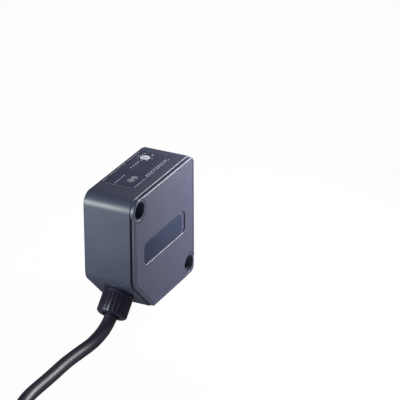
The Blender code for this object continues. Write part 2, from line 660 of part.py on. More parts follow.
def make_lens_holder(materials):
    """A black block with a tapering light path behind each lens."""
    holder = optics_box("lens_holder", HOLDER_FRONT_Y, HOLDER_DEPTH, materials["black_plastic"])
    for i, z in enumerate(lens_places()):
        depth = HOLDER_DEPTH - HOLDER_WALL
        mouth = LENS_PITCH / 2 - HOLDER_WALL / 2
        throat = EMITTER_RADIUS + FIT
        cone = ((0.0, -MM), (mouth, -MM), (mouth, 0.0), (throat, depth),
                (throat, HOLDER_DEPTH + MM), (0.0, HOLDER_DEPTH + MM))
        cut(holder, turned(f"light_path_cut_{i}", cone, None, 24,
                           (MIDDLE_X, HOLDER_FRONT_Y, z), (0, 1, 0)))
    return holder


def make_sensor_board(materials):
    """The small upright board with the emitter and the photodiode behind their lenses."""
    optics_box("sensor_board", SENSOR_BOARD_Y, BOARD_THICKNESS, materials["green_board"])
    front_y = SENSOR_BOARD_Y - CLOSE_FIT
    for name, z, material in (("infrared_emitter", lens_places()[0], "clear_guide"),
                              ("photodiode", lens_places()[1], "chip_black")):
        rod(name, EMITTER_RADIUS, (MIDDLE_X, front_y, z), (0, -1, 0), SENSOR_COMPONENT_DEPTH,
            materials[material], 20)


# Boards and what they carry

def make_main_board(materials):
    """The power board, parallel to the side wall, and the parts soldered to it.

    The parts have their places and sizes as shares of the board and of the room over it.
    """
    box("main_board", (MAIN_BOARD_FACE_X, MAIN_BOARD_FRONT_Y, MAIN_BOARD_LOW_Z),
        (MAIN_BOARD_FACE_X + BOARD_THICKNESS, MAIN_BOARD_BACK_Y, MAIN_BOARD_HIGH_Z),
        materials["green_board"])
    block_on_board("relay", (0.12, 0.56), (0.39, 0.96), 0.86, materials["relay_blue"])
    block_on_board("film_capacitor", (0.60, 0.82), (0.57, 0.96), 0.7,
                   materials["capacitor_yellow"])
    block_on_board("varistor", (0.85, 0.98), (0.64, 0.91), 0.58, materials["varistor_blue"])
    block_on_board("power_chip", (0.60, 0.82), (0.46, 0.555), 0.17, materials["chip_black"])
    block_on_board("signal_chip", (0.12, 0.30), (0.16, 0.33), 0.125, materials["chip_black"])
    rod("smoothing_capacitor", 0.13 * MAIN_BOARD_LENGTH, on_board(0.72, 0.28), (-1, 0, 0),
        0.78 * COMPONENT_ROOM, materials["capacitor_sleeve"], 24)
    make_choke(0.115 * MAIN_BOARD_LENGTH, 0.41 * COMPONENT_ROOM, materials["ferrite"])
    header_length = HEADER_PITCH * (WIRE_COUNT + 0.06)
    box("wire_header", (COMPONENT_BASE_X - header_length, HEADER_BACK_Y - HEADER_DEPTH,
                        HEADER_Z - HEADER_HEIGHT / 2),
        (COMPONENT_BASE_X, HEADER_BACK_Y, HEADER_Z + HEADER_HEIGHT / 2),
        materials["white_plastic"])


def on_board(y_share, z_share):
    """A point on the main board's component side."""
    return Vector((COMPONENT_BASE_X, MAIN_BOARD_FRONT_Y + y_share * MAIN_BOARD_LENGTH,
                   MAIN_BOARD_LOW_Z + z_share * MAIN_BOARD_HEIGHT))


def block_on_board(name, y_shares, z_shares, height_share, material):
    """A component's plain body on the main board."""
    low = on_board(y_shares[0], z_shares[0])
    low.x -= height_share * COMPONENT_ROOM
    return box(name, low, on_board(y_shares[1], z_shares[1]), material)


def make_choke(radius, height, material):
    """A spool with two flanges, standing on the main board."""
    flange, core = 0.17 * height, 0.73 * radius
    outline = ((0.0, 0.0), (radius, 0.0), (radius, flange), (core, flange),
               (core, height - flange), (radius, height - flange), (radius, height), (0.0, height))
    return turned("choke", outline, material, 20, on_board(0.44, 0.26), (-1, 0, 0))


def make_control_board(materials):
    """The board under the top, with the two indicator lights and their guides."""
    front = -HALF_LENGTH + WALL + FIT + MM
    box("control_board", (COVER_INNER_X + PLUG_DEPTH + FIT, front, CONTROL_BOARD_LOW_Z),
        (INNER_SIDE_X - FIT, CONTROL_BOARD_BACK_Y, CONTROL_BOARD_TOP_Z),
        materials["green_board"])
    names = (("operation", "indicator_orange"), ("stability", "indicator_green"))
    for (name, colour), y in zip(names, GUIDE_Y):
        low = CONTROL_BOARD_TOP_Z + CLOSE_FIT
        half = GUIDE_RADIUS
        box(f"{name}_indicator", (GUIDE_X - half, y - half, low),
            (GUIDE_X + half, y + half, low + INDICATOR_HEIGHT), materials[colour])
        guide_low = low + INDICATOR_HEIGHT + FIT
        rod(f"{name}_light_guide", GUIDE_RADIUS, (GUIDE_X, y, guide_low), (0, 0, 1),
            HALF_HEIGHT + ROTOR_PROUD - guide_low, materials["clear_guide"], 16)


def make_adjuster(materials):
    """The trimmer's body on the control board, and the slotted rotor that turns in it."""
    low = CONTROL_BOARD_TOP_Z + CLOSE_FIT
    top = low + ADJUSTER_BODY_HEIGHT
    body = rod("adjuster_body", ADJUSTER_BODY_RADIUS, (ADJUSTER_X, ADJUSTER_Y, low), (0, 0, 1),
               ADJUSTER_BODY_HEIGHT, materials["black_plastic"], 28)
    socket_low = top - 2.0 * MM
    cut(body, rod("rotor_socket_cut", ROTOR_STEM_RADIUS + FIT,
                  (ADJUSTER_X, ADJUSTER_Y, socket_low), (0, 0, 1), 4 * MM, steps=20))
    head_top = HALF_HEIGHT + ROTOR_PROUD
    stem_low = socket_low + FIT
    profile = ((0.0, stem_low), (ROTOR_STEM_RADIUS, stem_low),
               (ROTOR_STEM_RADIUS, head_top - ROTOR_HEAD), (ROTOR_RADIUS, head_top - ROTOR_HEAD),
               (ROTOR_RADIUS, head_top), (0.0, head_top))
    rotor = turned("adjuster_rotor", [(r, h - head_top) for r, h in profile],
                   materials["white_plastic"], 28)
    slot = box("rotor_slot_cut", (-SLOT_LENGTH / 2, -SLOT_WIDTH / 2, -SLOT_DEPTH),
               (SLOT_LENGTH / 2, SLOT_WIDTH / 2, MM))
    slot.parent = rotor
    cut(rotor, slot)
    rotor.location = (ADJUSTER_X, ADJUSTER_Y, head_top)
    return body, rotor


# Gland and cable

def along_gland(distance):
    """The point on the gland's axis this far out from the cut corner's face."""
    return GLAND_BASE + GLAND_AXIS * distance


def make_gland_body(materials):
    """The threaded tube through the wall, with a flange that holds it from inside."""
    flange_top = -WALL - FIT
    profile = ((GLAND_BORE_RADIUS, flange_top - GLAND_FLANGE),
               (GLAND_FLANGE_RADIUS, flange_top - GLAND_FLANGE),
               (GLAND_FLANGE_RADIUS, flange_top), (GLAND_BODY_RADIUS, flange_top),
               (GLAND_BODY_RADIUS, GLAND_BODY_REACH), (GLAND_BORE_RADIUS, GLAND_BODY_REACH))
    return turned("gland_body", profile, materials["black_plastic"], 32, GLAND_BASE, GLAND_AXIS)


def nut_section(distance, radius, ribbed):
    """One loop round the nut: a plain circle, or with a rib at every second point pair."""
    loop = []
    for i in range(NUT_RIBS * 4):
        angle = 2 * math.pi * i / (NUT_RIBS * 4)
        raised = NUT_RIB_HEIGHT if ribbed and i % 4 < 2 else 0.0
        reach = radius - NUT_RIB_HEIGHT + raised if ribbed else radius
        loop.append(Vector((reach * math.cos(angle), reach * math.sin(angle), distance)))
    return loop


def make_gland_nut(materials):
    """The nut: a plain collar, a ribbed grip and a chamfered end with the cable's hole."""
    ribs_start = FIT + NUT_COLLAR
    sections = [nut_section(FIT, NUT_RADIUS, False),
                nut_section(ribs_start, NUT_RADIUS, False),
                nut_section(ribs_start + 0.1 * MM, NUT_RADIUS, True),
                nut_section(GLAND_END - NUT_CHAMFER, NUT_RADIUS, True),
                nut_section(GLAND_END, NUT_RADIUS - NUT_CHAMFER, False)]
    builder = loft(sections)
    place_along(builder, GLAND_BASE, GLAND_AXIS)
    nut = finish("gland_nut", builder, materials["black_plastic"], smooth=False)
    bore_end = GLAND_END - NUT_END_WALL
    profile = ((0.0, -MM), (GLAND_BODY_RADIUS + FIT, -MM), (GLAND_BODY_RADIUS + FIT, bore_end),
               (NUT_END_HOLE, bore_end), (NUT_END_HOLE, GLAND_END + MM), (0.0, GLAND_END + MM))
    cut(nut, turned("nut_bore_cut", profile, None, 32, GLAND_BASE, GLAND_AXIS))
    return nut


def make_cable_entry(materials):
    """Seal, clamp and the end of the cable where it runs in through the gland."""
    seal_inner = CABLE_RADIUS + FIT
    seal_length = GLAND_END - NUT_END_WALL - FIT
    ring("gland_seal", seal_inner, GLAND_BORE_RADIUS - FIT, along_gland(0.0), GLAND_AXIS,
         seal_length, materials["seal_rubber"])
    clamp_end = -WALL - 2 * FIT - GLAND_FLANGE
    ring("cable_clamp", seal_inner, seal_inner + CLAMP_WALL,
         along_gland(clamp_end - CLAMP_LENGTH), GLAND_AXIS, CLAMP_LENGTH,
         materials["tinned_copper"])
    rod("inner_cable", CABLE_RADIUS, along_gland(-CABLE_INSIDE), GLAND_AXIS,
        CABLE_INSIDE + GLAND_END, materials["cable_sheath"], 24)


def wire_materials(materials):
    names = ("brown", "blue", "white", "black", "grey")
    return [(name, materials[f"wire_{name}"]) for name in names]


def make_inner_wires(materials):
    """Five wires from the cable's end inside the case to the header on the main board."""
    start_centre = along_gland(-CABLE_INSIDE - FIT)
    bundle = 0.65 * CABLE_RADIUS
    places = []
    for i in range(WIRE_COUNT):
        angle = 2 * math.pi * (i + 0.25) / WIRE_COUNT
        rise = math.sin(angle) / math.sqrt(2)
        places.append(start_centre + Vector((math.cos(angle), rise, rise)) * bundle)
    places.sort(key=lambda place: -place.x)
    first_x = COMPONENT_BASE_X - HEADER_PITCH * 0.7
    for i, (name, material) in enumerate(wire_materials(materials)):
        end = Vector((first_x - i * HEADER_PITCH, HEADER_BACK_Y + FIT, HEADER_Z))
        stops = (places[i], places[i] - GLAND_AXIS * MM, end + Vector((0, 2 * MM, 0)), end)
        tube(f"{name}_wire", smooth_route(stops, 2 * MM), WIRE_RADIUS, material)


def make_cable_run(materials):
    """The cable from the gland down to the surface and away behind the case."""
    start = along_gland(GLAND_END + FIT)
    level = SURFACE_Z + CABLE_RADIUS
    stops = [start, along_gland(GLAND_END + 1.7 * MM)]
    for x, y, rise in ((-10.3, 29.4, 3.25), (-9.1, 35.2, 0.85), (-7.8, 41.4, 0.0),
                       (-6.9, 52.0, 0.0), (-6.9, 65.0, 0.0), (-6.8, 75.0, 0.1),
                       (-7.2, 81.0, 0.3), (-8.4, 87.5, 0.5), (-11.1, 94.2, 0.7),
                       (-14.5, 101.2, 0.95), (-17.3, 108.2, 1.15), (-18.42, 112.6, 1.2)):
        stops.append(Vector((x * MM, y * MM, level + rise * MM)))
    stops.append(coil_end(-1, COIL_LOW_Z + CABLE_RADIUS))
    return tube("cable_run", smooth_route(stops, 5 * CABLE_RADIUS), CABLE_RADIUS,
                materials["cable_sheath"], 3)


def coil_end(side, z):
    """Where a cable in line with the coil's outer turn meets the coil's outer wall."""
    turn = COIL_OUTER - CABLE_RADIUS
    short = math.sqrt(COIL_OUTER ** 2 - (turn - CABLE_RADIUS) ** 2)
    return Vector((COIL_CENTRE[0] + side * turn, COIL_CENTRE[1] - short + COIL_TOUCH, z))


def make_coil(materials):
    """The coiled length as one turned ring, and the tie round it."""
    inner = COIL_TURN_RADIUS - COIL_HALF_BAND
    base = (*COIL_CENTRE, COIL_LOW_Z)
    ring("cable_coil", inner, COIL_OUTER, base, (0, 0, 1), COIL_HEIGHT,
         materials["cable_sheath"], 48)
    low = COIL_LOW_Z - FIT
    high = COIL_LOW_Z + COIL_HEIGHT + FIT
    near, far = COIL_CENTRE[1] - COIL_OUTER - 2 * FIT, COIL_CENTRE[1] - inner + FIT
    half = TIE_WIDTH / 2
    tie = box("coil_tie", (COIL_CENTRE[0] - half, near - TIE_THICKNESS, low - TIE_THICKNESS),
              (COIL_CENTRE[0] + half, far + TIE_THICKNESS, high + TIE_THICKNESS),
              materials["tie_plastic"])
    cut(tie, box("tie_hole_cut", (COIL_CENTRE[0] - TIE_WIDTH, near, low),
                 (COIL_CENTRE[0] + TIE_WIDTH, far, high)))


def make_cable_tail(materials):
    """The cable's free end, from the coil's top layer down to the surface, and its leads."""
    stops = [coil_end(1, COIL_LOW_Z + COIL_HEIGHT - CABLE_RADIUS)]
    for x, y, rise in ((36.4, 105.1, 28.5), (36.1, 97.8, 21.2), (35.7, 91.3, 10.0),
                       (35.2, 84.0, 2.7), (34.8, 74.0, 0.0), (34.6, 70.0, 0.0)):
        stops.append(Vector((x * MM, y * MM, SURFACE_Z + CABLE_RADIUS + rise * MM)))
    tube("cable_tail", smooth_route(stops, 5 * CABLE_RADIUS), CABLE_RADIUS,
         materials["cable_sheath"], 3)
    make_leads(materials, stops[-1])


def make_leads(materials, sheath_end):
    """Five leads that fan out of the sheath and lie on the surface, with tinned ends."""
    low = SURFACE_Z + LEAD_RADIUS
    for i, (name, material) in enumerate(wire_materials(materials)):
        spread = LEAD_SPREAD * (i - (WIRE_COUNT - 1) / 2)
        lift = 1.1 * MM if i % 2 else -0.7 * MM
        start = sheath_end + Vector((spread, -FIT, lift))
        reach = LEAD_LENGTH + 2 * MM * (i % 3)
        stops = (start, start + Vector((0.3 * spread, -5 * MM, (low - start.z) / 2)),
                 Vector((start.x + 0.7 * spread, start.y - 12 * MM, low)),
                 Vector((start.x + spread, start.y - reach, low)))
        tube(f"{name}_lead", smooth_route(stops, 4 * LEAD_RADIUS), LEAD_RADIUS, material)
        heading = (stops[-1] - stops[-2]).normalized()
        rod(f"{name}_lead_tip", LEAD_TIP_RADIUS, stops[-1] + heading * FIT, heading,
            LEAD_TIP_LENGTH, materials["tinned_copper"], 12)


def build():
    for thing in list(bpy.data.objects):
        bpy.data.objects.remove(thing, do_unlink=True)
    materials = make_materials()
    make_case(materials)
    make_cover(materials)
    make_seal(materials)
    make_side_film(materials)
    make_top_panel(materials)
    make_window(materials)
    make_lens(materials)
    make_lens_holder(materials)
    make_sensor_board(materials)
    make_main_board(materials)
    make_control_board(materials)
    make_adjuster(materials)
    make_gland_body(materials)
    make_gland_nut(materials)
    make_cable_entry(materials)
    make_inner_wires(materials)
    make_cable_run(materials)
    make_coil(materials)
    make_cable_tail(materials)


build()
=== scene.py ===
# %% [markdown]
# # An infrared photocell for a gate
# The hard parts of this photocell were built as CAD and packed as a fixed frame.
# This file dresses that frame: it loads it, sets up the camera and the light, and
# then gives every visible piece its fine shape and its finish. Nothing here moves a
# CAD part. A piece either keeps its CAD mesh and gets a better material, or is
# modelled again in the same place with softer edges and finer detail.

# %% Load the frame
import json
import math

import bmesh
import bpy
from mathutils import Matrix, Vector


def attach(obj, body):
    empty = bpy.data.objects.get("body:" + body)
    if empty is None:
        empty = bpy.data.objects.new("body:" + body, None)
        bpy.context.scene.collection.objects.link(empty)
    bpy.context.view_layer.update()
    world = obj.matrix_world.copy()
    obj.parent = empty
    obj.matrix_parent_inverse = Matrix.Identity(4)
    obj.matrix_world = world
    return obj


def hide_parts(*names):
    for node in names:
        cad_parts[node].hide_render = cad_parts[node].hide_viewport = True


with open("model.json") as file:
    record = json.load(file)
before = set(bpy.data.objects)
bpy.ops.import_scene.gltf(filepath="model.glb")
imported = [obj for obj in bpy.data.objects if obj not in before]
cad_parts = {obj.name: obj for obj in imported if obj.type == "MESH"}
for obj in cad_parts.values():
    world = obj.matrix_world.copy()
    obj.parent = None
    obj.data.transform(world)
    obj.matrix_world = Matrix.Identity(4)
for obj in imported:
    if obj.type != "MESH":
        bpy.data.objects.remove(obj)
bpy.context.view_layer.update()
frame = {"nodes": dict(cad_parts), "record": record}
MM = 0.001
BODY = "photocell"

# %% [markdown]
# ## The camera
# The photograph looks at the back and the cover's side, from above. A long lens from
# almost a metre away keeps the upright edges nearly parallel. The camera's place is
# worked out from two angles and a distance, as a photographer would say it, and its
# own right and up directions turn it towards the object.

# %% Camera
AZIMUTH, ELEVATION, ROLL = (math.radians(angle) for angle in (206.594, 25.436, -0.124))
DISTANCE = 935.13 * MM
FOCAL_PIXELS, PICTURE_PIXELS, SENSOR = 2435.9, 400, 36.0
SHIFT_RIGHT, SHIFT_UP = -32.489 * MM, -10.471 * MM

towards_camera = Vector((math.sin(AZIMUTH) * math.cos(ELEVATION),
                         -math.cos(AZIMUTH) * math.cos(ELEVATION), math.sin(ELEVATION)))
level_right = Vector((0, 0, 1)).cross(towards_camera).normalized()
level_up = towards_camera.cross(level_right)
view_right = level_right * math.cos(ROLL) + level_up * math.sin(ROLL)
view_up = level_up * math.cos(ROLL) - level_right * math.sin(ROLL)

camera_data = bpy.data.cameras.new("photo_camera")
camera_data.sensor_width = SENSOR
camera_data.lens = FOCAL_PIXELS / PICTURE_PIXELS * SENSOR
camera_data.clip_start, camera_data.clip_end = 0.01, 10.0
camera = bpy.data.objects.new("photo_camera", camera_data)
bpy.context.scene.collection.objects.link(camera)
turn = Matrix((view_right, view_up, towards_camera)).transposed()
camera.location = (towards_camera * DISTANCE - view_right * SHIFT_RIGHT - view_up * SHIFT_UP)
camera.rotation_euler = turn.to_euler()
bpy.context.scene.camera = camera
print("lens", round(camera_data.lens, 1), "mm, camera at", [round(v, 3) for v in camera.location])

# %% [markdown]
# ## The cable's route
# The cable is one flexible piece two metres long. It leaves the gland at the cut
# corner, bends down under its own weight and lies on the table. What the photograph
# doesn't show is wound into a neat coil beside the view, and the free end comes off
# the top of the coil. The route is a list of points on one smooth line: a few chosen
# stops for the loose stretches, and a rule for the turns of the coil.

# %% Cable route
TABLE_Z, NUT_LENGTH = -34.0 * MM, 9.5 * MM
CABLE_RADIUS, CABLE_START = 2.5 * MM, NUT_LENGTH + 0.3 * MM
GLAND_FACE = Vector((-10.75, 17.5, -17.5)) * MM
GLAND_AXIS = Vector((0.0, 1.0, -1.0)).normalized()
COIL_MIDDLE = Vector((9.0, 131.5, 0.0)) * MM
COIL_BOTTOM = -32.8 * MM
COIL_RADIUS = 25.0 * MM
LAY = 2 * CABLE_RADIUS


def along_gland(distance):
    return GLAND_FACE + GLAND_AXIS * distance


def smooth_stops(stops, spacing):
    """Points on the smooth curve through the stops, about spacing apart."""
    padded = [stops[0] * 2 - stops[1], *stops, stops[-1] * 2 - stops[-2]]
    points = [stops[0]]
    for p0, p1, p2, p3 in zip(padded, padded[1:], padded[2:], padded[3:]):
        pieces = max(2, round((p2 - p1).length / spacing))
        for i in range(1, pieces + 1):
            t = i / pieces
            points.append(0.5 * (2 * p1 + (p2 - p0) * t
                                 + (2 * p0 - 5 * p1 + 4 * p2 - p3) * t ** 2
                                 + (3 * p1 - p0 - 3 * p2 + p3) * t ** 3))
    return points


def ease(t):
    t = min(max(t, 0.0), 1.0)
    return t * t * (3 - 2 * t)


def lifted(stops):
    """Stops given in mm, with their height above the height of a cable on the table."""
    return [Vector((x, y, rise)) * MM + Vector((0, 0, TABLE_Z + CABLE_RADIUS))
            for x, y, rise in stops]


run_stops = [along_gland(CABLE_START), along_gland(CABLE_START + 1.4 * MM)] + lifted((
    (-10.3, 29.4, 3.25), (-9.1, 35.2, 0.85), (-7.8, 41.4, 0.0), (-6.9, 52.0, 0.0),
    (-6.9, 65.0, 0.0), (-6.8, 75.0, 0.1), (-7.2, 81.0, 0.3), (-8.4, 87.5, 0.5),
    (-11.1, 94.2, 0.7), (-14.5, 101.2, 0.95), (-17.3, 108.2, 1.15), (-18.42, 112.6, 1.2),
    (-18.5, 115.1, 1.2)))
run_points = smooth_stops(run_stops, 3 * MM)
tail_stops = lifted((
    (36.5, 115.1, 31.2), (36.4, 105.1, 28.5), (36.1, 97.8, 21.2), (35.7, 91.3, 10.0),
    (35.2, 84.0, 2.7), (34.8, 74.0, 0.0), (34.6, 70.0, 0.0)))
tail_points = smooth_stops(tail_stops, 3 * MM)
print(len(run_points), "points to the coil,", len(tail_points), "points from it")

# %% [markdown]
# The coil is two turns wide and seven layers high. Cable that is laid up by hand goes
# round level, slips across to the other column, goes round again and then climbs on to
# the next layer, over the place where it slipped across. Each slip and climb starts a
# little earlier in the turn than the one under it, so that no turn runs through
# another. Radius and height follow from how many turns have been made.

# %% Coil
TURNS, LAYERS, POINTS_PER_TURN = 11.5, 7, 36
SLIP, FIRST_SLIP_EARLY = 0.16, 0.05
CLIMB, CLIMB_EARLY = 1.05 * SLIP, 0.4 * SLIP

slips, climbs = [], []
start = 1 - SLIP - FIRST_SLIP_EARLY
for layer in range(LAYERS - 1):
    slips.append(start)
    climbs.append(start + 1 - CLIMB_EARLY)
    start = climbs[-1] + 1 - SLIP
print("slips at turns", [round(t, 2) for t in slips])


def coil_place(turns):
    """Radius and height of the cable after this many turns."""
    inwards = sum((-1) ** i * ease((turns - t) / SLIP) for i, t in enumerate(slips))
    layer = sum(ease((turns - t) / CLIMB) for t in climbs)
    radius = COIL_RADIUS + LAY * (0.5 - inwards)
    return radius, COIL_BOTTOM + CABLE_RADIUS + LAY * layer


coil_points = []
for step in range(int(TURNS * POINTS_PER_TURN) + 1):
    turns = step / POINTS_PER_TURN
    radius, height = coil_place(turns)
    angle = math.pi - 2 * math.pi * turns
    coil_points.append(Vector((COIL_MIDDLE.x + radius * math.cos(angle),
                               COIL_MIDDLE.y + radius * math.sin(angle), height)))
cable_points = run_points + coil_points + tail_points

# %% Cable piece
cable_curve = bpy.data.curves.new("cable_line", "CURVE")
cable_curve.dimensions = "3D"
cable_curve.bevel_depth = CABLE_RADIUS
cable_curve.bevel_resolution = 6
cable_curve.use_fill_caps = True
line = cable_curve.splines.new("POLY")
line.points.add(len(cable_points) - 1)
for place, point in zip(line.points, cable_points):
    place.co = (*point, 1.0)
line.use_smooth = True
cable_line = bpy.data.objects.new("cable_line", cable_curve)
bpy.context.scene.collection.objects.link(cable_line)
drawn = cable_line.evaluated_get(bpy.context.evaluated_depsgraph_get())
cable = bpy.data.objects.new("cable", bpy.data.meshes.new_from_object(drawn))
bpy.data.objects.remove(cable_line, do_unlink=True)
bpy.context.scene.collection.objects.link(cable)
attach(cable, BODY)
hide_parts("cable_run", "cable_coil", "cable_tail")
print("cable", len(cable.data.polygons), "faces")

# %% [markdown]
# ## Table, background and light
# The background is plain white. The floor answers camera rays with white and mirror
# rays with a dimmer white, because the real plastics show little of their surroundings.
# All other rays meet a pale matt surface, so the floor stays white in the picture while
# it still takes the object's soft shadow. A large lamp, a near one and an even world
# light the object softly, at a level where a colour renders about as it is written.

# %% Node helper and colours
def add_node(tree, kind, inputs=None, **settings):
    """Adds a shader node, sets its properties, and fills or links its inputs."""
    node = tree.nodes.new(kind)
    for key, value in settings.items():
        setattr(node, key, value)
    for key, value in (inputs or {}).items():
        if isinstance(value, bpy.types.NodeSocket):
            tree.links.new(value, node.inputs[key])
        else:
            node.inputs[key].default_value = value
    return node


def paint(code):
    """A colour written as in a picture editor, such as 5c6275, as Blender's linear RGBA."""
    channels = [int(code[i:i + 2], 16) / 255 for i in (0, 2, 4)]
    linear = [c / 12.92 if c <= 0.04045 else ((c + 0.055) / 1.055) ** 2.4 for c in channels]
    return (*linear, 1.0)


def new_material(name):
    """An empty material, its Principled shader and its node tree."""
    material = bpy.data.materials.new(name)
    material.use_nodes = True
    return material, material.node_tree.nodes["Principled BSDF"], material.node_tree


# %% Floor
MIRROR_DIMMING, WHITE_SHARE, MATT_GREY, FLOOR_HALF = 0.86, 0.97, 0.8, 4.0
floor_material = bpy.data.materials.new("pale_floor")
floor_material.use_nodes = True
tree = floor_material.node_tree
tree.nodes.clear()
ray = add_node(tree, "ShaderNodeLightPath")
seen = add_node(tree, "ShaderNodeMath", {0: ray.outputs["Is Camera Ray"],
                                         1: ray.outputs["Is Transmission Ray"]}, operation="MAXIMUM")
seen = add_node(tree, "ShaderNodeMath", {0: seen.outputs[0], 1: ray.outputs["Is Glossy Ray"]},
                operation="MAXIMUM")
level = add_node(tree, "ShaderNodeMath", {0: ray.outputs["Is Glossy Ray"], 1: -MIRROR_DIMMING,
                                          2: 1.0}, operation="MULTIPLY_ADD")
share = add_node(tree, "ShaderNodeMath", {0: seen.outputs[0], 1: WHITE_SHARE}, operation="MULTIPLY")
matt = add_node(tree, "ShaderNodeBsdfDiffuse", {"Color": (MATT_GREY, MATT_GREY, MATT_GREY, 1.0)})
white = add_node(tree, "ShaderNodeEmission", {"Color": (1, 1, 1, 1),
                                              "Strength": level.outputs[0]})
mix = add_node(tree, "ShaderNodeMixShader", {0: share.outputs[0], 1: matt.outputs[0],
                                             2: white.outputs[0]})
add_node(tree, "ShaderNodeOutputMaterial", {"Surface": mix.outputs[0]})
floor_mesh = bmesh.new()
bmesh.ops.create_grid(floor_mesh, x_segments=1, y_segments=1, size=FLOOR_HALF,
                      matrix=Matrix.Translation((0, 0, TABLE_Z)))
floor_data = bpy.data.meshes.new("floor")
floor_mesh.to_mesh(floor_data)
floor_mesh.free()
floor_data.materials.append(floor_material)
floor = bpy.data.objects.new("floor", floor_data)
bpy.context.scene.collection.objects.link(floor)

# %% Lamps and world
def add_lamp(name, place, aim, size, power, colour="ffffff"):
    """A square soft lamp at place that points at aim."""
    data = bpy.data.lights.new(name, "AREA")
    data.shape, data.size, data.energy = "SQUARE", size, power
    data.color = paint(colour)[:3]
    lamp = bpy.data.objects.new(name, data)
    bpy.context.scene.collection.objects.link(lamp)
    lamp.location = place
    lamp.visible_camera = False
    lamp.rotation_euler = (Vector(aim) - Vector(place)).to_track_quat("-Z", "Y").to_euler()


add_lamp("left_lamp", (0.45, 0.95, 0.12), (0, 0, 0), 0.6, 24.0, "f4fff6")
add_lamp("right_lamp", (-0.082, -0.09, 0.05), (-0.02, -0.01, 0.01), 0.08, 0.42)
world = bpy.data.worlds.new("studio")
world.use_nodes = True
world_tree = world.node_tree
world_tree.nodes.clear()
ray = add_node(world_tree, "ShaderNodeLightPath")
soft = add_node(world_tree, "ShaderNodeBackground", {"Color": (1, 1, 1, 1), "Strength": 0.14})
clean = add_node(world_tree, "ShaderNodeBackground", {"Color": (1, 1, 1, 1), "Strength": 1.0})
mix = add_node(world_tree, "ShaderNodeMixShader", {0: ray.outputs["Is Camera Ray"],
                                                   1: soft.outputs[0], 2: clean.outputs[0]})
add_node(world_tree, "ShaderNodeOutputWorld", {"Surface": mix.outputs[0]})
bpy.context.scene.world = world
bpy.context.scene.view_settings.view_transform = "Standard"

# %% [markdown]
# ## Finishes
# Nearly every outer piece is moulded ABS. Its colour is never quite even, its gloss
# varies a little with the mould, and spark-eroded steel leaves a very fine grain that
# breaks up the highlights. One function makes that finish for any plastic, and its
# values say how each one differs. The grain is drawn a little coarser than the real
# 0.1 mm so that it shows in the render.

# %% Moulded plastic
def moulded_plastic(name, code, roughness, grain=0.3, depth=0.004, mottle=0.05, ior=1.53):
    """Plastic with uneven colour, uneven gloss and a fine moulded grain (sizes in mm)."""
    material, shader, tree = new_material(name)
    place = add_node(tree, "ShaderNodeTexCoord").outputs["Object"]
    cloud = add_node(tree, "ShaderNodeTexNoise", {"Vector": place, "Scale": 1 / (9 * MM),
                                                  "Detail": 4.0, "Roughness": 0.6})
    fine = add_node(tree, "ShaderNodeTexNoise", {"Vector": place, "Scale": 1 / (grain * MM),
                                                 "Detail": 2.0, "Roughness": 0.5})
    base = paint(code)
    low = (*(c * (1 - mottle) for c in base[:3]), 1.0)
    high = (*(min(c * (1 + mottle), 1.0) for c in base[:3]), 1.0)
    tint = add_node(tree, "ShaderNodeMix", {"Factor": cloud.outputs["Fac"], "A": low, "B": high},
                    data_type="RGBA")
    gloss = add_node(tree, "ShaderNodeMapRange", {"Value": cloud.outputs["Fac"],
                                                  "From Min": 0.3, "From Max": 0.7,
                                                  "To Min": roughness - 0.03,
                                                  "To Max": roughness + 0.03})
    bump = add_node(tree, "ShaderNodeBump", {"Height": fine.outputs["Fac"], "Strength": 1.0,
                                             "Distance": depth * MM})
    tree.links.new(tint.outputs["Result"], shader.inputs["Base Color"])
    tree.links.new(gloss.outputs["Result"], shader.inputs["Roughness"])
    tree.links.new(bump.outputs["Normal"], shader.inputs["Normal"])
    shader.inputs["IOR"].default_value = ior
    return material


finishes = {
    # Spark-eroded ABS: soft, wide highlights and a satin look.
    "case_plastic": moulded_plastic("case_abs", "3c3f53", 0.42),
    # The cover's mould is coarser, so its highlight breaks up a little.
    "cover_plastic": moulded_plastic("cover_abs", "414358", 0.42, grain=0.35, depth=0.016),
    # Moulded nylon of the gland: nearly black, with crisp lines of light on its ribs.
    "black_plastic": moulded_plastic("black_nylon", "211e33", 0.32),
    # Extruded PVC sheath: smooth and silky, with one soft stripe of light along it.
    "cable_sheath": moulded_plastic("cable_pvc", "282438", 0.45, grain=0.8, depth=0.001),
    # Printed polyester films: thin, flat and even.
    "panel_film": moulded_plastic("printed_polyester", "35374e", 0.36, grain=0.5),
    "blue_film": moulded_plastic("blue_polyester", "212b44", 0.34, grain=0.5),
    # Moulded acetal, which is slightly milky and smooth, and the pale print.
    "white_plastic": moulded_plastic("white_acetal", "c9c9d6", 0.35),
    # Nylon of the tie, and the cases and sleeves of the parts on the boards.
    "tie_plastic": moulded_plastic("tie_nylon", "1c1c20", 0.4),
    "relay_blue": moulded_plastic("relay_case", "2c5a9c", 0.35),
    "capacitor_sleeve": moulded_plastic("capacitor_pvc", "1b1c24", 0.28),
    "capacitor_yellow": moulded_plastic("capacitor_case", "cba53a", 0.4),
    # Dipped epoxy has a coarse orange-peel skin, and rubber is dull.
    "varistor_blue": moulded_plastic("varistor_epoxy", "2257a4", 0.42, grain=0.6, depth=0.02),
    "seal_rubber": moulded_plastic("rubber", "17171b", 0.62, grain=0.4, depth=0.01),
    # Extruded PVC round each wire.
    "wire_brown": moulded_plastic("brown_insulation", "6e432a", 0.4),
    "wire_blue": moulded_plastic("blue_insulation", "2a5fb4", 0.4),
    "wire_white": moulded_plastic("white_insulation", "dddcd6", 0.4),
    "wire_black": moulded_plastic("black_insulation", "1b1b1d", 0.4),
    "wire_grey": moulded_plastic("grey_insulation", "86878b", 0.4),
}
print(len(finishes), "plastics")

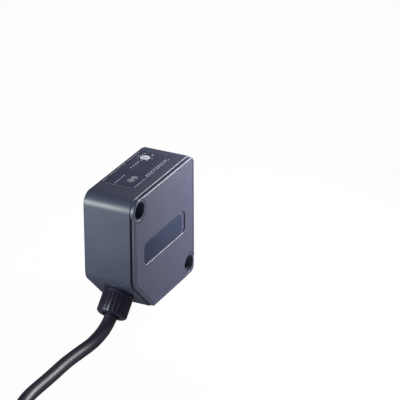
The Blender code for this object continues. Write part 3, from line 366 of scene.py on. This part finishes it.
# %% [markdown]
# ## Glass-like plastics, boards and metal
# The clear pieces are acrylic and the window is the same, tinted almost black. They use
# the shader's transmission, with a faint haze so that they are not perfectly even. The
# indicator lights are tinted clear plastic. The boards are green glass-fibre laminate:
# a weave of 0.6 mm threads under the lacquer, and copper tracks as paler lines.

# %% Clear and tinted plastics
def clear_plastic(name, code, through, roughness, haze=0.04):
    """Acrylic or polycarbonate: transmission with a faint cloudy haze in its gloss."""
    material, shader, tree = new_material(name)
    place = add_node(tree, "ShaderNodeTexCoord").outputs["Object"]
    cloud = add_node(tree, "ShaderNodeTexNoise", {"Vector": place, "Scale": 1 / (3 * MM),
                                                  "Detail": 3.0})
    gloss = add_node(tree, "ShaderNodeMapRange", {"Value": cloud.outputs["Fac"],
                                                  "From Min": 0.3, "From Max": 0.7,
                                                  "To Min": roughness,
                                                  "To Max": roughness + haze})
    base = paint(code)
    dim = (*(c * 0.9 for c in base[:3]), 1.0)
    tint = add_node(tree, "ShaderNodeMix", {"Factor": cloud.outputs["Fac"], "A": base, "B": dim},
                    data_type="RGBA")
    tree.links.new(tint.outputs["Result"], shader.inputs["Base Color"])
    tree.links.new(gloss.outputs["Result"], shader.inputs["Roughness"])
    shader.inputs["Transmission Weight"].default_value = through
    shader.inputs["IOR"].default_value = 1.49
    return material


finishes["dark_window"] = clear_plastic("infrared_acrylic", "17141c", 0.1, 0.06)
finishes["clear_lens"] = clear_plastic("lens_acrylic", "d9cfd6", 0.85, 0.03)
finishes["clear_guide"] = clear_plastic("guide_acrylic", "c9ccd4", 0.5, 0.08)
finishes["indicator_orange"] = clear_plastic("orange_indicator", "e08a34", 0.3, 0.15)
finishes["indicator_green"] = clear_plastic("green_indicator", "3fbf62", 0.3, 0.15)
print(len(finishes), "finishes so far")


# %% Circuit board
def circuit_board(name, lacquer, track):
    """Green laminate: a fine weave, and tracks as square outlines round scattered points."""
    material, shader, tree = new_material(name)
    place = add_node(tree, "ShaderNodeTexCoord").outputs["Object"]
    weave = add_node(tree, "ShaderNodeTexWave", {"Vector": place, "Scale": 1 / (0.6 * MM) / 6.28,
                                                 "Distortion": 0.4}, bands_direction="DIAGONAL")
    blocks = add_node(tree, "ShaderNodeTexVoronoi", {"Vector": place, "Scale": 1 / (2.6 * MM)},
                      distance="CHEBYCHEV", feature="F1")
    edge = add_node(tree, "ShaderNodeMapRange", {"Value": blocks.outputs["Distance"],
                                                 "From Min": 0.42, "From Max": 0.46})
    tint = add_node(tree, "ShaderNodeMix", {"Factor": edge.outputs["Result"], "A": paint(lacquer),
                                            "B": paint(track)}, data_type="RGBA")
    bump = add_node(tree, "ShaderNodeBump", {"Height": weave.outputs["Fac"], "Strength": 1.0,
                                             "Distance": 0.01 * MM})
    tree.links.new(tint.outputs["Result"], shader.inputs["Base Color"])
    tree.links.new(bump.outputs["Normal"], shader.inputs["Normal"])
    shader.inputs["Roughness"].default_value = 0.35
    shader.inputs["Coat Weight"].default_value = 0.3
    return material


finishes["green_board"] = circuit_board("green_laminate", "1f5a35", "2f7a48")


# %% Chips, ferrite and metal
def grained(name, code, roughness, grain, depth, metal=0.0):
    """A hard surface with fine speckle and pits: moulded epoxy, ferrite or tinned wire."""
    material, shader, tree = new_material(name)
    place = add_node(tree, "ShaderNodeTexCoord").outputs["Object"]
    speck = add_node(tree, "ShaderNodeTexNoise", {"Vector": place, "Scale": 1 / (grain * MM),
                                                  "Detail": 5.0, "Roughness": 0.7})
    base = paint(code)
    ramp = add_node(tree, "ShaderNodeMix", {"Factor": speck.outputs["Fac"],
                                            "A": (*(c * 0.75 for c in base[:3]), 1.0),
                                            "B": (*(min(c * 1.25, 1) for c in base[:3]), 1.0)},
                    data_type="RGBA")
    gloss = add_node(tree, "ShaderNodeMapRange", {"Value": speck.outputs["Fac"],
                                                  "To Min": roughness - 0.08,
                                                  "To Max": roughness + 0.08})
    bump = add_node(tree, "ShaderNodeBump", {"Height": speck.outputs["Fac"], "Strength": 1.0,
                                             "Distance": depth * MM})
    tree.links.new(ramp.outputs["Result"], shader.inputs["Base Color"])
    tree.links.new(gloss.outputs["Result"], shader.inputs["Roughness"])
    tree.links.new(bump.outputs["Normal"], shader.inputs["Normal"])
    shader.inputs["Metallic"].default_value = metal
    return material


finishes["chip_black"] = grained("chip_epoxy", "26262a", 0.5, 0.15, 0.01)
finishes["ferrite"] = grained("ferrite", "3a3838", 0.65, 0.3, 0.02)
finishes["tinned_copper"] = grained("tinned_copper", "b9b6ae", 0.32, 0.25, 0.008, metal=1.0)
print(len(finishes), "finishes")

# %% [markdown]
# ## Tools for the pieces
# Each new piece starts as a bmesh made with Blender's own operators. Two shapes come
# back again and again: a block with rounded upright edges, and a shape turned round an
# axis, which is an outline spun a full turn. A Boolean modifier cuts or adds one from
# the other. It is applied at once, so the finished piece has no live modifiers.

# %% Turned shapes and blocks
def along(axis):
    """The rotation that turns +Z to the axis."""
    return Vector((0, 0, 1)).rotation_difference(Vector(axis)).to_matrix().to_4x4()


def turned(outline, place=(0, 0, 0), axis=(0, 0, 1), steps=48, closed=False):
    """Spins a (radius, height) outline in mm about an axis through place (metres)."""
    solid = bmesh.new()
    points = [solid.verts.new((radius * MM, 0, height * MM)) for radius, height in outline]
    pairs = list(zip(points, points[1:])) + ([(points[-1], points[0])] if closed else [])
    edges = [solid.edges.new(pair) for pair in pairs]
    bmesh.ops.spin(solid, geom=points + edges, cent=(0, 0, 0), axis=(0, 0, 1),
                   angle=2 * math.pi, steps=steps, use_merge=True)
    bmesh.ops.remove_doubles(solid, verts=solid.verts, dist=1e-6)
    bmesh.ops.delete(solid, geom=[e for e in solid.edges if not e.link_faces], context="EDGES")
    bmesh.ops.transform(solid, matrix=Matrix.Translation(Vector(place)) @ along(axis),
                        verts=solid.verts)
    bmesh.ops.recalc_face_normals(solid, faces=solid.faces)
    return solid


def bevel_edges(solid, edges, width, segments):
    bmesh.ops.bevel(solid, geom=edges, offset=width, offset_type="OFFSET", segments=segments,
                    profile=0.5, affect="EDGES", material=-1)


def soften(solid, axis, value, width, segments=4):
    """Rounds the edges that lie in the plane where the axis has this value."""
    rim = [edge for edge in solid.edges
           if all(abs(vert.co[axis] - value) < 1e-6 for vert in edge.verts)]
    bevel_edges(solid, rim, width, segments)


def rounded_block(low, high, axis, radius, steps=6):
    """A block (corners in mm) whose edges along one axis are rounded."""
    low, high = Vector(low) * MM, Vector(high) * MM
    solid = bmesh.new()
    size = Matrix.Diagonal((*(high - low), 1.0))
    bmesh.ops.create_cube(solid, size=1.0, matrix=Matrix.Translation((low + high) / 2) @ size)
    upright = [edge for edge in solid.edges
               if abs(edge.verts[0].co[axis] - edge.verts[1].co[axis]) > 1e-6]
    bevel_edges(solid, upright, radius * MM, steps)
    return solid


# %% Booleans and finished pieces
def loose_object(solid, name):
    mesh = bpy.data.meshes.new(name)
    solid.to_mesh(mesh)
    solid.free()
    thing = bpy.data.objects.new(name, mesh)
    bpy.context.scene.collection.objects.link(thing)
    return thing


def combine(solid, tools, operation="DIFFERENCE"):
    """Cuts the tools from the solid, or joins or intersects them, and applies the result.

    Corners that end a hair apart are merged, so that the result stays closed."""
    things = [loose_object(solid, "work")] + [loose_object(tool, "tool") for tool in tools]
    for tool in things[1:]:
        step = things[0].modifiers.new("step", "BOOLEAN")
        step.operation, step.solver, step.object = operation, "EXACT", tool
    result = bmesh.new()
    result.from_object(things[0], bpy.context.evaluated_depsgraph_get())
    bmesh.ops.remove_doubles(result, verts=result.verts, dist=0.001 * MM)
    bmesh.ops.dissolve_degenerate(result, edges=result.edges, dist=0.001 * MM)
    for thing in things:
        bpy.data.objects.remove(thing, do_unlink=True)
    return result


def make_piece(solid, name, slot, body=BODY, replaced=(), angle=35):
    """Turns a bmesh into a smooth-shaded piece with its finish, riding on a body."""
    bmesh.ops.recalc_face_normals(solid, faces=solid.faces)
    piece = loose_object(solid, name)
    piece.data.materials.append(finishes[slot])
    piece.data.shade_smooth()
    piece.data.set_sharp_from_angle(angle=math.radians(angle))
    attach(piece, body)
    if replaced:
        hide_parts(*replaced)
    print(name, len(piece.data.polygons), "faces")
    return piece


# %% [markdown]
# ## The case
# The real case is one moulding: a square tray with a corner cut off, whose long edges
# each have their own radius. A five-sided face is extruded along X and its long edges
# are bevelled. For a 90 degree corner the bevel's width is the radius; at the cut
# corner's wider angles it is smaller. The side that is screwed to a post stands up as a
# raised face, made with inset and extrude. All rims are rounded a little, because a
# mould can't make a perfectly sharp edge and the light runs along these roundings.

# %% Case outline
HALF, CUT_LEGS, WALL = 25.0, 15.0, 2.2
CORNERS = ((5.0, 90), (3.2, 90), (3.0, 90), (3.0, 135), (5.0, 135))
COVER_FACE, COVER_BACK, CASE_RIM = -21.5, -20.6, -19.8
FACE_IN, FACE_STEP, INNER_FACE = 0.35, 1.1, -2.4
RAISED_ROUND, RIM_ROUND = 0.4, 0.2


def case_prism(inset, low_x, high_x):
    """The case's outline drawn in by inset (mm), extruded from low_x to high_x."""
    far, cut = HALF - inset, CUT_LEGS - inset * (2 - math.sqrt(2))
    places = ((far, far), (-far, far), (-far, -far), (far - cut, -far), (far, cut - far))
    solid = bmesh.new()
    face = solid.faces.new([solid.verts.new(Vector((low_x, *place)) * MM) for place in places])
    grown = bmesh.ops.extrude_face_region(solid, geom=[face])["geom"]
    bmesh.ops.translate(solid, vec=((high_x - low_x) * MM, 0, 0),
                        verts=[part for part in grown if isinstance(part, bmesh.types.BMVert)])
    for place, (radius, angle) in zip(places, CORNERS):
        width = max(radius - inset, 0.3) / math.tan(math.radians(angle / 2))
        edge = [e for e in solid.edges if all((v.co.yz - Vector(place) * MM).length < 1e-6
                                              for v in e.verts)]
        bevel_edges(solid, edge, width * MM, 10)
    bmesh.ops.recalc_face_normals(solid, faces=solid.faces)
    return solid


# %% Case body
HOLES = ((20.0, 20.0), (-20.0, -20.0))
HOLE_RADIUS, SEAT_RADIUS, SEAT_DEPTH, NECK_RADIUS = 2.6, 3.5, 5.0, 4.7

shell = case_prism(0.0, CASE_RIM, -FACE_STEP)
raised = max(shell.faces, key=lambda face: face.calc_center_median().x)
bmesh.ops.inset_region(shell, faces=[raised], thickness=FACE_IN * MM, use_even_offset=True)
raised = max(shell.faces, key=lambda face: (face.calc_center_median().x, face.calc_area()))
grown = bmesh.ops.extrude_discrete_faces(shell, faces=[raised])["faces"]
bmesh.ops.translate(shell, vec=(FACE_STEP * MM, 0, 0), verts=grown[0].verts)
bmesh.ops.recalc_face_normals(shell, faces=shell.faces)
soften(shell, 0, 0.0, RAISED_ROUND * MM)
soften(shell, 0, CASE_RIM * MM, RIM_ROUND * MM, 3)
shell = combine(shell, [case_prism(WALL, CASE_RIM - 1, INNER_FACE)])
print("shell", len(shell.faces), "faces")

# %% [markdown]
# Most of what is cut from the case has a soft mouth. A hole's tool is a turned shape
# whose end flares out where it meets the surface, so the cut leaves a small rounding
# behind it.

# %% Cutting tools
def flared_hole(radius, depth, place, axis, mouth=0.25, steps=48):
    """A tool for a blind or through hole with a rounded mouth at place (mm, outwards axis)."""
    outline = [(0, -depth), (radius, -depth)]
    outline += [(radius + mouth * (1 - math.cos(math.radians(t))),
                 -mouth * (1 - math.sin(math.radians(t)))) for t in (0, 30, 60, 90)]
    outline += [(radius + mouth, 1), (0, 1)]
    return turned(outline, Vector(place) * MM, axis, steps)


def ring_groove(inner, width, depth, place, axis):
    """A tool for a shallow ring groove with a rounded bottom."""
    outline = [(inner, 0.5), (inner, -0.3 * depth), (inner + 0.5 * width, -depth),
               (inner + width, -0.3 * depth), (inner + width, 0.5)]
    return turned(outline, Vector(place) * MM, axis, 56, closed=True)


def flared_recess(low, high, axis, radius, side, flare=0.2):
    """A tool for a recess with straight walls that flare where they leave the surface."""
    solid = rounded_block(low, high, axis, radius)
    top = (high if side > 0 else low)[axis] * MM
    cap = [face for face in solid.faces if all(abs(v.co[axis] - top) < 1e-6 for v in face.verts)]
    grown = bmesh.ops.extrude_face_region(solid, geom=cap)["geom"]
    verts = [part for part in grown if isinstance(part, bmesh.types.BMVert)]
    bmesh.ops.delete(solid, geom=cap, context="FACES_ONLY")
    middle = (Vector(low) + Vector(high)) * MM / 2
    scale = [1 + 4 * flare / (h - l) for l, h in zip(low, high)]
    shift = [0.0, 0.0, 0.0]
    scale[axis], shift[axis] = 1.0, side * 2 * flare * MM
    bmesh.ops.scale(solid, vec=scale, verts=verts, space=Matrix.Translation(-middle))
    bmesh.ops.translate(solid, vec=shift, verts=verts)
    bmesh.ops.recalc_face_normals(solid, faces=solid.faces)
    return solid


# %% [markdown]
# The two mounting holes pass through the whole unit. Inside, each has a broad screw
# tower that grows out of the corner, and its neck passes through the cover. A tower is
# the case's own outline intersected with a turned column, so it follows the corner. The
# seat for the screw's head is cut before the tower joins the case, while the solids are
# still simple, because the exact solver is surest on simple solids.

# %% Screw towers
COLUMN_LOW, COLUMN_HIGH = -30.0, 5.0


def column(radius, y, z):
    """A plain column along X round a hole, longer than the unit is wide, used as a tool."""
    length = COLUMN_HIGH - COLUMN_LOW
    return turned(((0, 0), (radius, 0), (radius, length), (0, length)),
                  Vector((COLUMN_LOW, y, z)) * MM, (1, 0, 0), 56)


def corner_block(y, z, low_x, high_x):
    """A block from a hole's middle out past the corner beside it."""
    ys, zs = sorted((y, y * 1.5)), sorted((z, z * 1.5))
    return rounded_block((low_x, ys[0], zs[0]), (high_x, ys[1], zs[1]), 0, 0.01, 1)


TOWER_RADIUS, TOWER_IN, TOWER_END, NECK_END = 6.3, 0.66, -1.4, -1.5
NECK_FACE = COVER_FACE + 0.1

posts = []
for y, z in HOLES:
    tower = combine(case_prism(TOWER_IN, CASE_RIM, TOWER_END), [column(TOWER_RADIUS, y, z)],
                    "INTERSECT")
    neck = case_prism(FACE_IN, NECK_FACE, NECK_END)
    soften(neck, 0, NECK_FACE * MM, RAISED_ROUND * MM)
    post = combine(column(NECK_RADIUS, y, z), [corner_block(y, z, COLUMN_LOW, COLUMN_HIGH)],
                   "UNION")
    neck = combine(neck, [post], "INTERSECT")
    seat = flared_hole(SEAT_RADIUS, SEAT_DEPTH, (NECK_FACE, y, z), (-1, 0, 0), 0.2)
    posts.append(combine(combine(tower, [neck], "UNION"), [seat]))
shell = combine(shell, posts, "UNION")
print("with towers", len(shell.faces), "faces")

# %% Mounting holes and openings
tools = []
for y, z in HOLES:
    tools.append(column(HOLE_RADIUS, y, z))
    tools.append(flared_hole(SEAT_RADIUS, SEAT_DEPTH, (0, y, z), (1, 0, 0)))
    tools.append(ring_groove(SEAT_RADIUS + 0.5, 0.35, 0.3, (0, y, z), (1, 0, 0)))
shell = combine(shell, tools)

MIDDLE_X, WINDOW_Z, WINDOW_SIZE, WINDOW_DEPTH = -10.75, -2.3, (15.0, 27.5), 1.4
PANEL_X, PANEL_Y, PANEL_SIZE = -8.4, -2.6, (13.7, 31.4)
PANEL_FLOOR = HALF - 0.45
ADJUSTER, GUIDES = (-5.9, -13.8), ((-11.0, 7.2), (-11.0, 4.4))
ADJUSTER_HOLE, GUIDE_HOLE, GLAND_HOLE, TOP_DEPTH = 2.3, 0.95, 5.1, 4.5
window_low = (MIDDLE_X - WINDOW_SIZE[0] / 2, -HALF, WINDOW_Z - WINDOW_SIZE[1] / 2)
window_high = (MIDDLE_X + WINDOW_SIZE[0] / 2, -HALF + WINDOW_DEPTH, WINDOW_Z + WINDOW_SIZE[1] / 2)
panel_low = (PANEL_X - PANEL_SIZE[0] / 2, PANEL_Y - PANEL_SIZE[1] / 2, PANEL_FLOOR)
panel_high = (PANEL_X + PANEL_SIZE[0] / 2, PANEL_Y + PANEL_SIZE[1] / 2, HALF)
seat = flared_recess((window_low[0], window_low[1] + 0.2, window_low[2]), window_high, 1, 1.0, -1)
light_low = (window_low[0] + 1, -HALF - 1, window_low[2] + 1)
light_high = (window_high[0] - 1, -HALF + 4, window_high[2] - 1)
recess = flared_recess(panel_low, (panel_high[0], panel_high[1], HALF - 0.12), 2, 1.0, 1, 0.12)
gland_place = GLAND_FACE / MM
shell = combine(shell, [
    seat, rounded_block(light_low, light_high, 1, 0.8), recess,
    flared_hole(ADJUSTER_HOLE, TOP_DEPTH, (*ADJUSTER, PANEL_FLOOR), (0, 0, 1), 0.1),
    flared_hole(GUIDE_HOLE, TOP_DEPTH, (*GUIDES[0], PANEL_FLOOR), (0, 0, 1), 0.1, 24),
    flared_hole(GUIDE_HOLE, TOP_DEPTH, (*GUIDES[1], PANEL_FLOOR), (0, 0, 1), 0.1, 24),
    flared_hole(GLAND_HOLE, 4.0, gland_place, GLAND_AXIS, 0.2)])

# %% Outline groove on the left-hand side
LABEL_SIZE, LABEL_Z, LABEL_CORNER = (33.5, 9.2), 0.3, 2.2


def label_block(grow, low_x, high_x):
    """A block with the label's outline, grown by some mm on each side."""
    y, z = LABEL_SIZE[0] / 2 + grow, LABEL_SIZE[1] / 2 + grow
    return rounded_block((low_x, -y, LABEL_Z - z), (high_x, y, LABEL_Z + z), 0,
                         LABEL_CORNER + grow, 8)


frame_tool = combine(label_block(0.0, -0.25, 1.0), [label_block(-0.4, -1.0, 2.0)])
shell = combine(shell, [frame_tool])
make_piece(shell, "case_shell", "case_plastic", replaced=["case"])

# %% [markdown]
# ## The cover
# The cover is a flat moulded plate that plugs into the open side. Its face shows a long
# recess for a label, a fine line just inside its rim, and two notches where the screw
# towers come through in opposite corners. It is the same outline as the case, drawn in
# a little, so that a narrow dark seam is left all round.

# %% Cover
RIM_IN, RIM_WIDTH, RIM_DEPTH = 1.35, 0.3, 0.15
PLUG_IN, PLUG_WIDTH, PLUG_REACH = 2.5, 1.4, 2.0
COVER_ROUND, NOTCH_GAP = 0.3, 0.15
cover = case_prism(FACE_IN, COVER_FACE, COVER_BACK)
soften(cover, 0, COVER_FACE * MM, COVER_ROUND * MM, 4)
plug = combine(case_prism(PLUG_IN, COVER_BACK - 0.3, COVER_BACK + PLUG_REACH),
               [case_prism(PLUG_IN + PLUG_WIDTH, COVER_BACK - 1, COVER_BACK + PLUG_REACH + 1)]
               + [column(TOWER_RADIUS + 0.3, y, z) for y, z in HOLES])
cover = combine(cover, [plug], "UNION")
notches = [column(NECK_RADIUS + NOTCH_GAP, y, z) for y, z in HOLES]
notches += [corner_block(y, z, COLUMN_LOW, COLUMN_HIGH) for y, z in HOLES]
label_y, label_z = LABEL_SIZE[0] / 2, LABEL_SIZE[1] / 2
label_recess = flared_recess((COVER_FACE + 0.1, -label_y, LABEL_Z - label_z),
                             (COVER_FACE + 0.4, label_y, LABEL_Z + label_z), 0,
                             LABEL_CORNER, -1, 0.1)
rim_line = combine(case_prism(RIM_IN, COVER_FACE - 1, COVER_FACE + RIM_DEPTH),
                   [case_prism(RIM_IN + RIM_WIDTH, COVER_FACE - 2, COVER_FACE + 1)])
cover = combine(cover, notches + [label_recess, rim_line])
make_piece(cover, "cover_plate", "cover_plastic", replaced=["side_cover"])

# %% [markdown]
# ## Film, window and panel
# The label is a thin blue polyester film, cut with round corners and stuck into its
# recess. It stops a little short of the recess's front end. The window is a tinted
# plate that lets infrared light through; its rim is rounded. The top panel is a printed
# film with holes for the adjuster and the two light guides.

# %% Label film and window
FILM_FACE, FILM_BACK = COVER_FACE + 0.05, COVER_FACE + 0.25
FILM_FRONT, FILM_REAR, FILM_HALF = -14.05, 16.45, 4.3
film = rounded_block((FILM_FACE, FILM_FRONT, LABEL_Z - FILM_HALF),
                     (FILM_BACK, FILM_REAR, LABEL_Z + FILM_HALF), 0, 2.0, 8)
soften(film, 0, FILM_FACE * MM, 0.06 * MM, 2)
make_piece(film, "label_film", "blue_film", replaced=["side_label"])
pane = rounded_block((window_low[0] + 0.3, -HALF, window_low[2] + 0.3),
                     (window_high[0] - 0.3, -HALF + 1.1, window_high[2] - 0.3), 1, 0.8)
soften(pane, 1, -HALF * MM, 0.25 * MM, 3)
make_piece(pane, "window_pane", "dark_window", replaced=["front_window"])

# %% Top panel
SHEET_GAP, SHEET_BACK, SHEET_FACE = 0.15, HALF - 0.3, HALF + 0.1
sheet = rounded_block((panel_low[0] + SHEET_GAP, panel_low[1] + SHEET_GAP, SHEET_BACK),
                      (panel_high[0] - SHEET_GAP, panel_high[1] - SHEET_GAP, SHEET_FACE),
                      2, 0.9, 8)
soften(sheet, 2, SHEET_FACE * MM, 0.1 * MM, 3)
sheet = combine(sheet, [flared_hole(ADJUSTER_HOLE, 1.0, (*ADJUSTER, SHEET_FACE), (0, 0, 1), 0.08)]
                + [flared_hole(0.8, 1.0, (*place, SHEET_FACE), (0, 0, 1), 0.08, 24)
                   for place in GUIDES])
make_piece(sheet, "panel_sheet", "panel_film", replaced=["top_panel"])

# %% [markdown]
# ## Marks on the panel
# The real panel carries white print. Its words are left off. What is kept is generic:
# a scale of ticks round the adjuster, with a plus and a minus, a ring round each
# indicator window, and three plain dashed lines. Each mark is a very thin raised shape,
# as screen printing is, all joined into one piece.

# %% Printed marks
PRINT_LOW, PRINT_HIGH = SHEET_FACE, SHEET_FACE + 0.03


def print_bar(centre, length, width, angle):
    """A thin printed bar on the panel, turned by an angle in degrees."""
    bar = bmesh.new()
    place = Vector((*centre, (PRINT_LOW + PRINT_HIGH) / 2)) * MM
    size = Matrix.Diagonal((length * MM, width * MM, (PRINT_HIGH - PRINT_LOW) * MM, 1.0))
    turn = Matrix.Rotation(math.radians(angle), 4, "Z")
    bmesh.ops.create_cube(bar, size=1.0, matrix=Matrix.Translation(place) @ turn @ size)
    return bar


def print_ring(centre, inner, width):
    outline = ((inner, 0), (inner + width, 0), (inner + width, PRINT_HIGH - PRINT_LOW),
               (inner, PRINT_HIGH - PRINT_LOW))
    return turned(outline, Vector((*centre, PRINT_LOW)) * MM, steps=32, closed=True)


STROKE, TICK, SIGN, SCALE_RADIUS = 0.22, 0.7, 0.9, 2.95
PLUS, MINUS = (-7.6, -17.1), (-4.2, -17.1)
# Each dashed line: x, first y, pitch, count, and a dash's length and width, in mm.
DASHED_LINES = ((-14.15, 0.6, 1.9, 9, 1.25, 0.26), (-6.6, 11.3, 1.7, 5, 1.05, 0.24),
                (-5.6, -3.2, 1.8, 4, 1.0, 0.26))

marks = [print_ring(place, 1.1, 0.15) for place in GUIDES]
for angle in range(-135, 136, 45):
    turn = math.radians(90 - angle)
    reach = Vector((math.cos(turn), math.sin(turn))) * SCALE_RADIUS
    marks.append(print_bar(Vector(ADJUSTER) + reach, TICK, STROKE, 90 - angle))
marks.append(print_bar(PLUS, SIGN, STROKE, 0))
marks.append(print_bar(MINUS, SIGN, STROKE, 0))
marks.append(print_bar(PLUS, SIGN, STROKE, 90))
for x, first_y, pitch, count, length, width in DASHED_LINES:
    for step in range(count):
        marks.append(print_bar((x, first_y - pitch * step), length, width, 90))
printed = bmesh.new()
for mark in marks:
    mesh = bpy.data.meshes.new("mark")
    mark.to_mesh(mesh)
    mark.free()
    printed.from_mesh(mesh)
    bpy.data.meshes.remove(mesh)
make_piece(printed, "panel_print", "white_plastic", angle=20)

# %% [markdown]
# ## The adjuster
# The white disc is the rotor of a small trimmer, set with a screwdriver. It is turned
# in one go with a rounded rim, and a slot with soft ends is cut across it. It rides on
# its own body.

# %% Adjuster knob
KNOB_RADIUS, KNOB_ROUND, KNOB_THICK, STEM_RADIUS, STEM_END = 2.0, 0.25, 1.4, 1.0, 3.4
SLOT_HALF_LENGTH, SLOT_HALF_WIDTH, SLOT_DEPTH = 1.45, 0.35, 0.7
outline = [(0, -STEM_END), (STEM_RADIUS, -STEM_END), (STEM_RADIUS, -KNOB_THICK),
           (KNOB_RADIUS, -KNOB_THICK)]
outline += [(KNOB_RADIUS - KNOB_ROUND * (1 - math.cos(math.radians(t))),
             -KNOB_ROUND * (1 - math.sin(math.radians(t)))) for t in (0, 22.5, 45, 67.5, 90)]
outline += [(0, 0)]
knob = turned(outline, Vector((*ADJUSTER, SHEET_FACE)) * MM)
slot_low = (ADJUSTER[0] - SLOT_HALF_LENGTH, ADJUSTER[1] - SLOT_HALF_WIDTH, SHEET_FACE - SLOT_DEPTH)
slot_high = (ADJUSTER[0] + SLOT_HALF_LENGTH, ADJUSTER[1] + SLOT_HALF_WIDTH, SHEET_FACE + 1)
slot_tool = rounded_block(slot_low, slot_high, 2, 0.3, 5)
knob = combine(knob, [slot_tool])
make_piece(knob, "adjuster_knob", "white_plastic", body="adjuster", replaced=["adjuster_rotor"])

# %% [markdown]
# ## The gland's nut
# The nut is turned, with a plain collar, a ribbed grip and a chamfered end. The outline
# is spun in as many steps as there are flanks. Every other face of the grip is then
# raised with inset_individual, which leaves sloping flanks, and the ribs' long edges
# catch thin lines of light as on the real nut.

# %% Nut
RIBS, NUT_RADIUS, NUT_END = 24, 6.0, NUT_LENGTH / MM
GRIP_RADIUS, THREAD_RADIUS, THROAT_RADIUS, LIP = NUT_RADIUS - 0.3, 5.1, 3.4, 1.8
COLLAR_LOW, COLLAR_HIGH = 0.3, 1.95
RIB_INSET, RIB_HEIGHT, RIB_ROUND = 0.13, 0.28, 0.09
outline = [(THREAD_RADIUS, COLLAR_LOW), (NUT_RADIUS - 0.15, COLLAR_LOW),
           (NUT_RADIUS, COLLAR_LOW + 0.15), (NUT_RADIUS, COLLAR_HIGH - 0.2),
           (GRIP_RADIUS, COLLAR_HIGH), (GRIP_RADIUS, NUT_END - 0.5),
           (GRIP_RADIUS - 0.15, NUT_END - 0.2), (GRIP_RADIUS - 0.45, NUT_END),
           (THROAT_RADIUS + 0.2, NUT_END), (THROAT_RADIUS, NUT_END - 0.2),
           (THROAT_RADIUS, NUT_END - LIP), (THREAD_RADIUS, NUT_END - LIP)]
nut = turned(outline, steps=2 * RIBS, closed=True)
grip = [face for face in nut.faces
        if all(abs(vert.co.xy.length - GRIP_RADIUS * MM) < 2e-5 for vert in face.verts)]
grip.sort(key=lambda face: math.atan2(face.calc_center_median().y, face.calc_center_median().x))
raised = grip[::2]
bmesh.ops.inset_individual(nut, faces=raised, thickness=RIB_INSET * MM, depth=RIB_HEIGHT * MM)
tips = {edge for face in raised for edge in face.edges}
bevel_edges(nut, list(tips), RIB_ROUND * MM, 2)
bmesh.ops.transform(nut, matrix=Matrix.Translation(GLAND_FACE) @ along(GLAND_AXIS),
                    verts=nut.verts)
make_piece(nut, "ribbed_nut", "black_plastic", replaced=["gland_nut"])
print(len(raised), "ribs")

# %% [markdown]
# ## The tie round the coil
# The coil is held by a nylon strap. It is a rounded block with a smaller one cut from
# it, and a small locking head sits on top of the strap.

# %% Coil tie
NEAR = COIL_MIDDLE.y / MM - 30
STRAP_HALF, STRAP_THICK, STRAP_ROUND = 1.5, 0.7, 0.25
HEAD_OVERHANG, HEAD_NEAR, HEAD_FAR, HEAD_HEIGHT = 0.9, 3.2, 7.2, 1.6
low = (COIL_MIDDLE.x / MM - STRAP_HALF, NEAR - 1.3, COIL_BOTTOM / MM - 1.0)
high = (COIL_MIDDLE.x / MM + STRAP_HALF, NEAR + 11.0, COIL_BOTTOM / MM + 36.0)
strap = rounded_block(low, high, 0, 1.6)
soften(strap, 0, low[0] * MM, STRAP_ROUND * MM, 2)
soften(strap, 0, high[0] * MM, STRAP_ROUND * MM, 2)
hollow = rounded_block((low[0] - 1, low[1] + STRAP_THICK, low[2] + STRAP_THICK),
                       (high[0] + 1, high[1] - STRAP_THICK, high[2] - STRAP_THICK), 0, 1.0)
head_top = high[2] + HEAD_HEIGHT
head = rounded_block((low[0] - HEAD_OVERHANG, NEAR + HEAD_NEAR, high[2] - 0.4),
                     (high[0] + HEAD_OVERHANG, NEAR + HEAD_FAR, head_top), 2, 0.5)
soften(head, 2, head_top * MM, 0.3 * MM, 3)
tie = make_piece(combine(combine(strap, [hollow]), [head], "UNION"), "strap_tie",
                 "tie_plastic", replaced=["coil_tie"])

# %% [markdown]

# %% [markdown]
# ## Dress the CAD parts
# The CAD nodes that stay keep their meshes. Only the materials in their slots change,
# to the finish that the record names for each.

# %% Dress
def dress(thing, material):
    """Gives every slot of a CAD node one material."""
    for slot in thing.material_slots:
        slot.material = material


slot_of = {part["node"]: part["material_slot"] for part in frame["record"]["subparts"]}
missing = sorted(set(slot_of.values()) - set(finishes))
for name, thing in frame["nodes"].items():
    dress(thing, finishes[slot_of[name]])
cable.data.materials.append(finishes["cable_sheath"])
print(len(slot_of), "nodes dressed, slots without a finish:", missing)
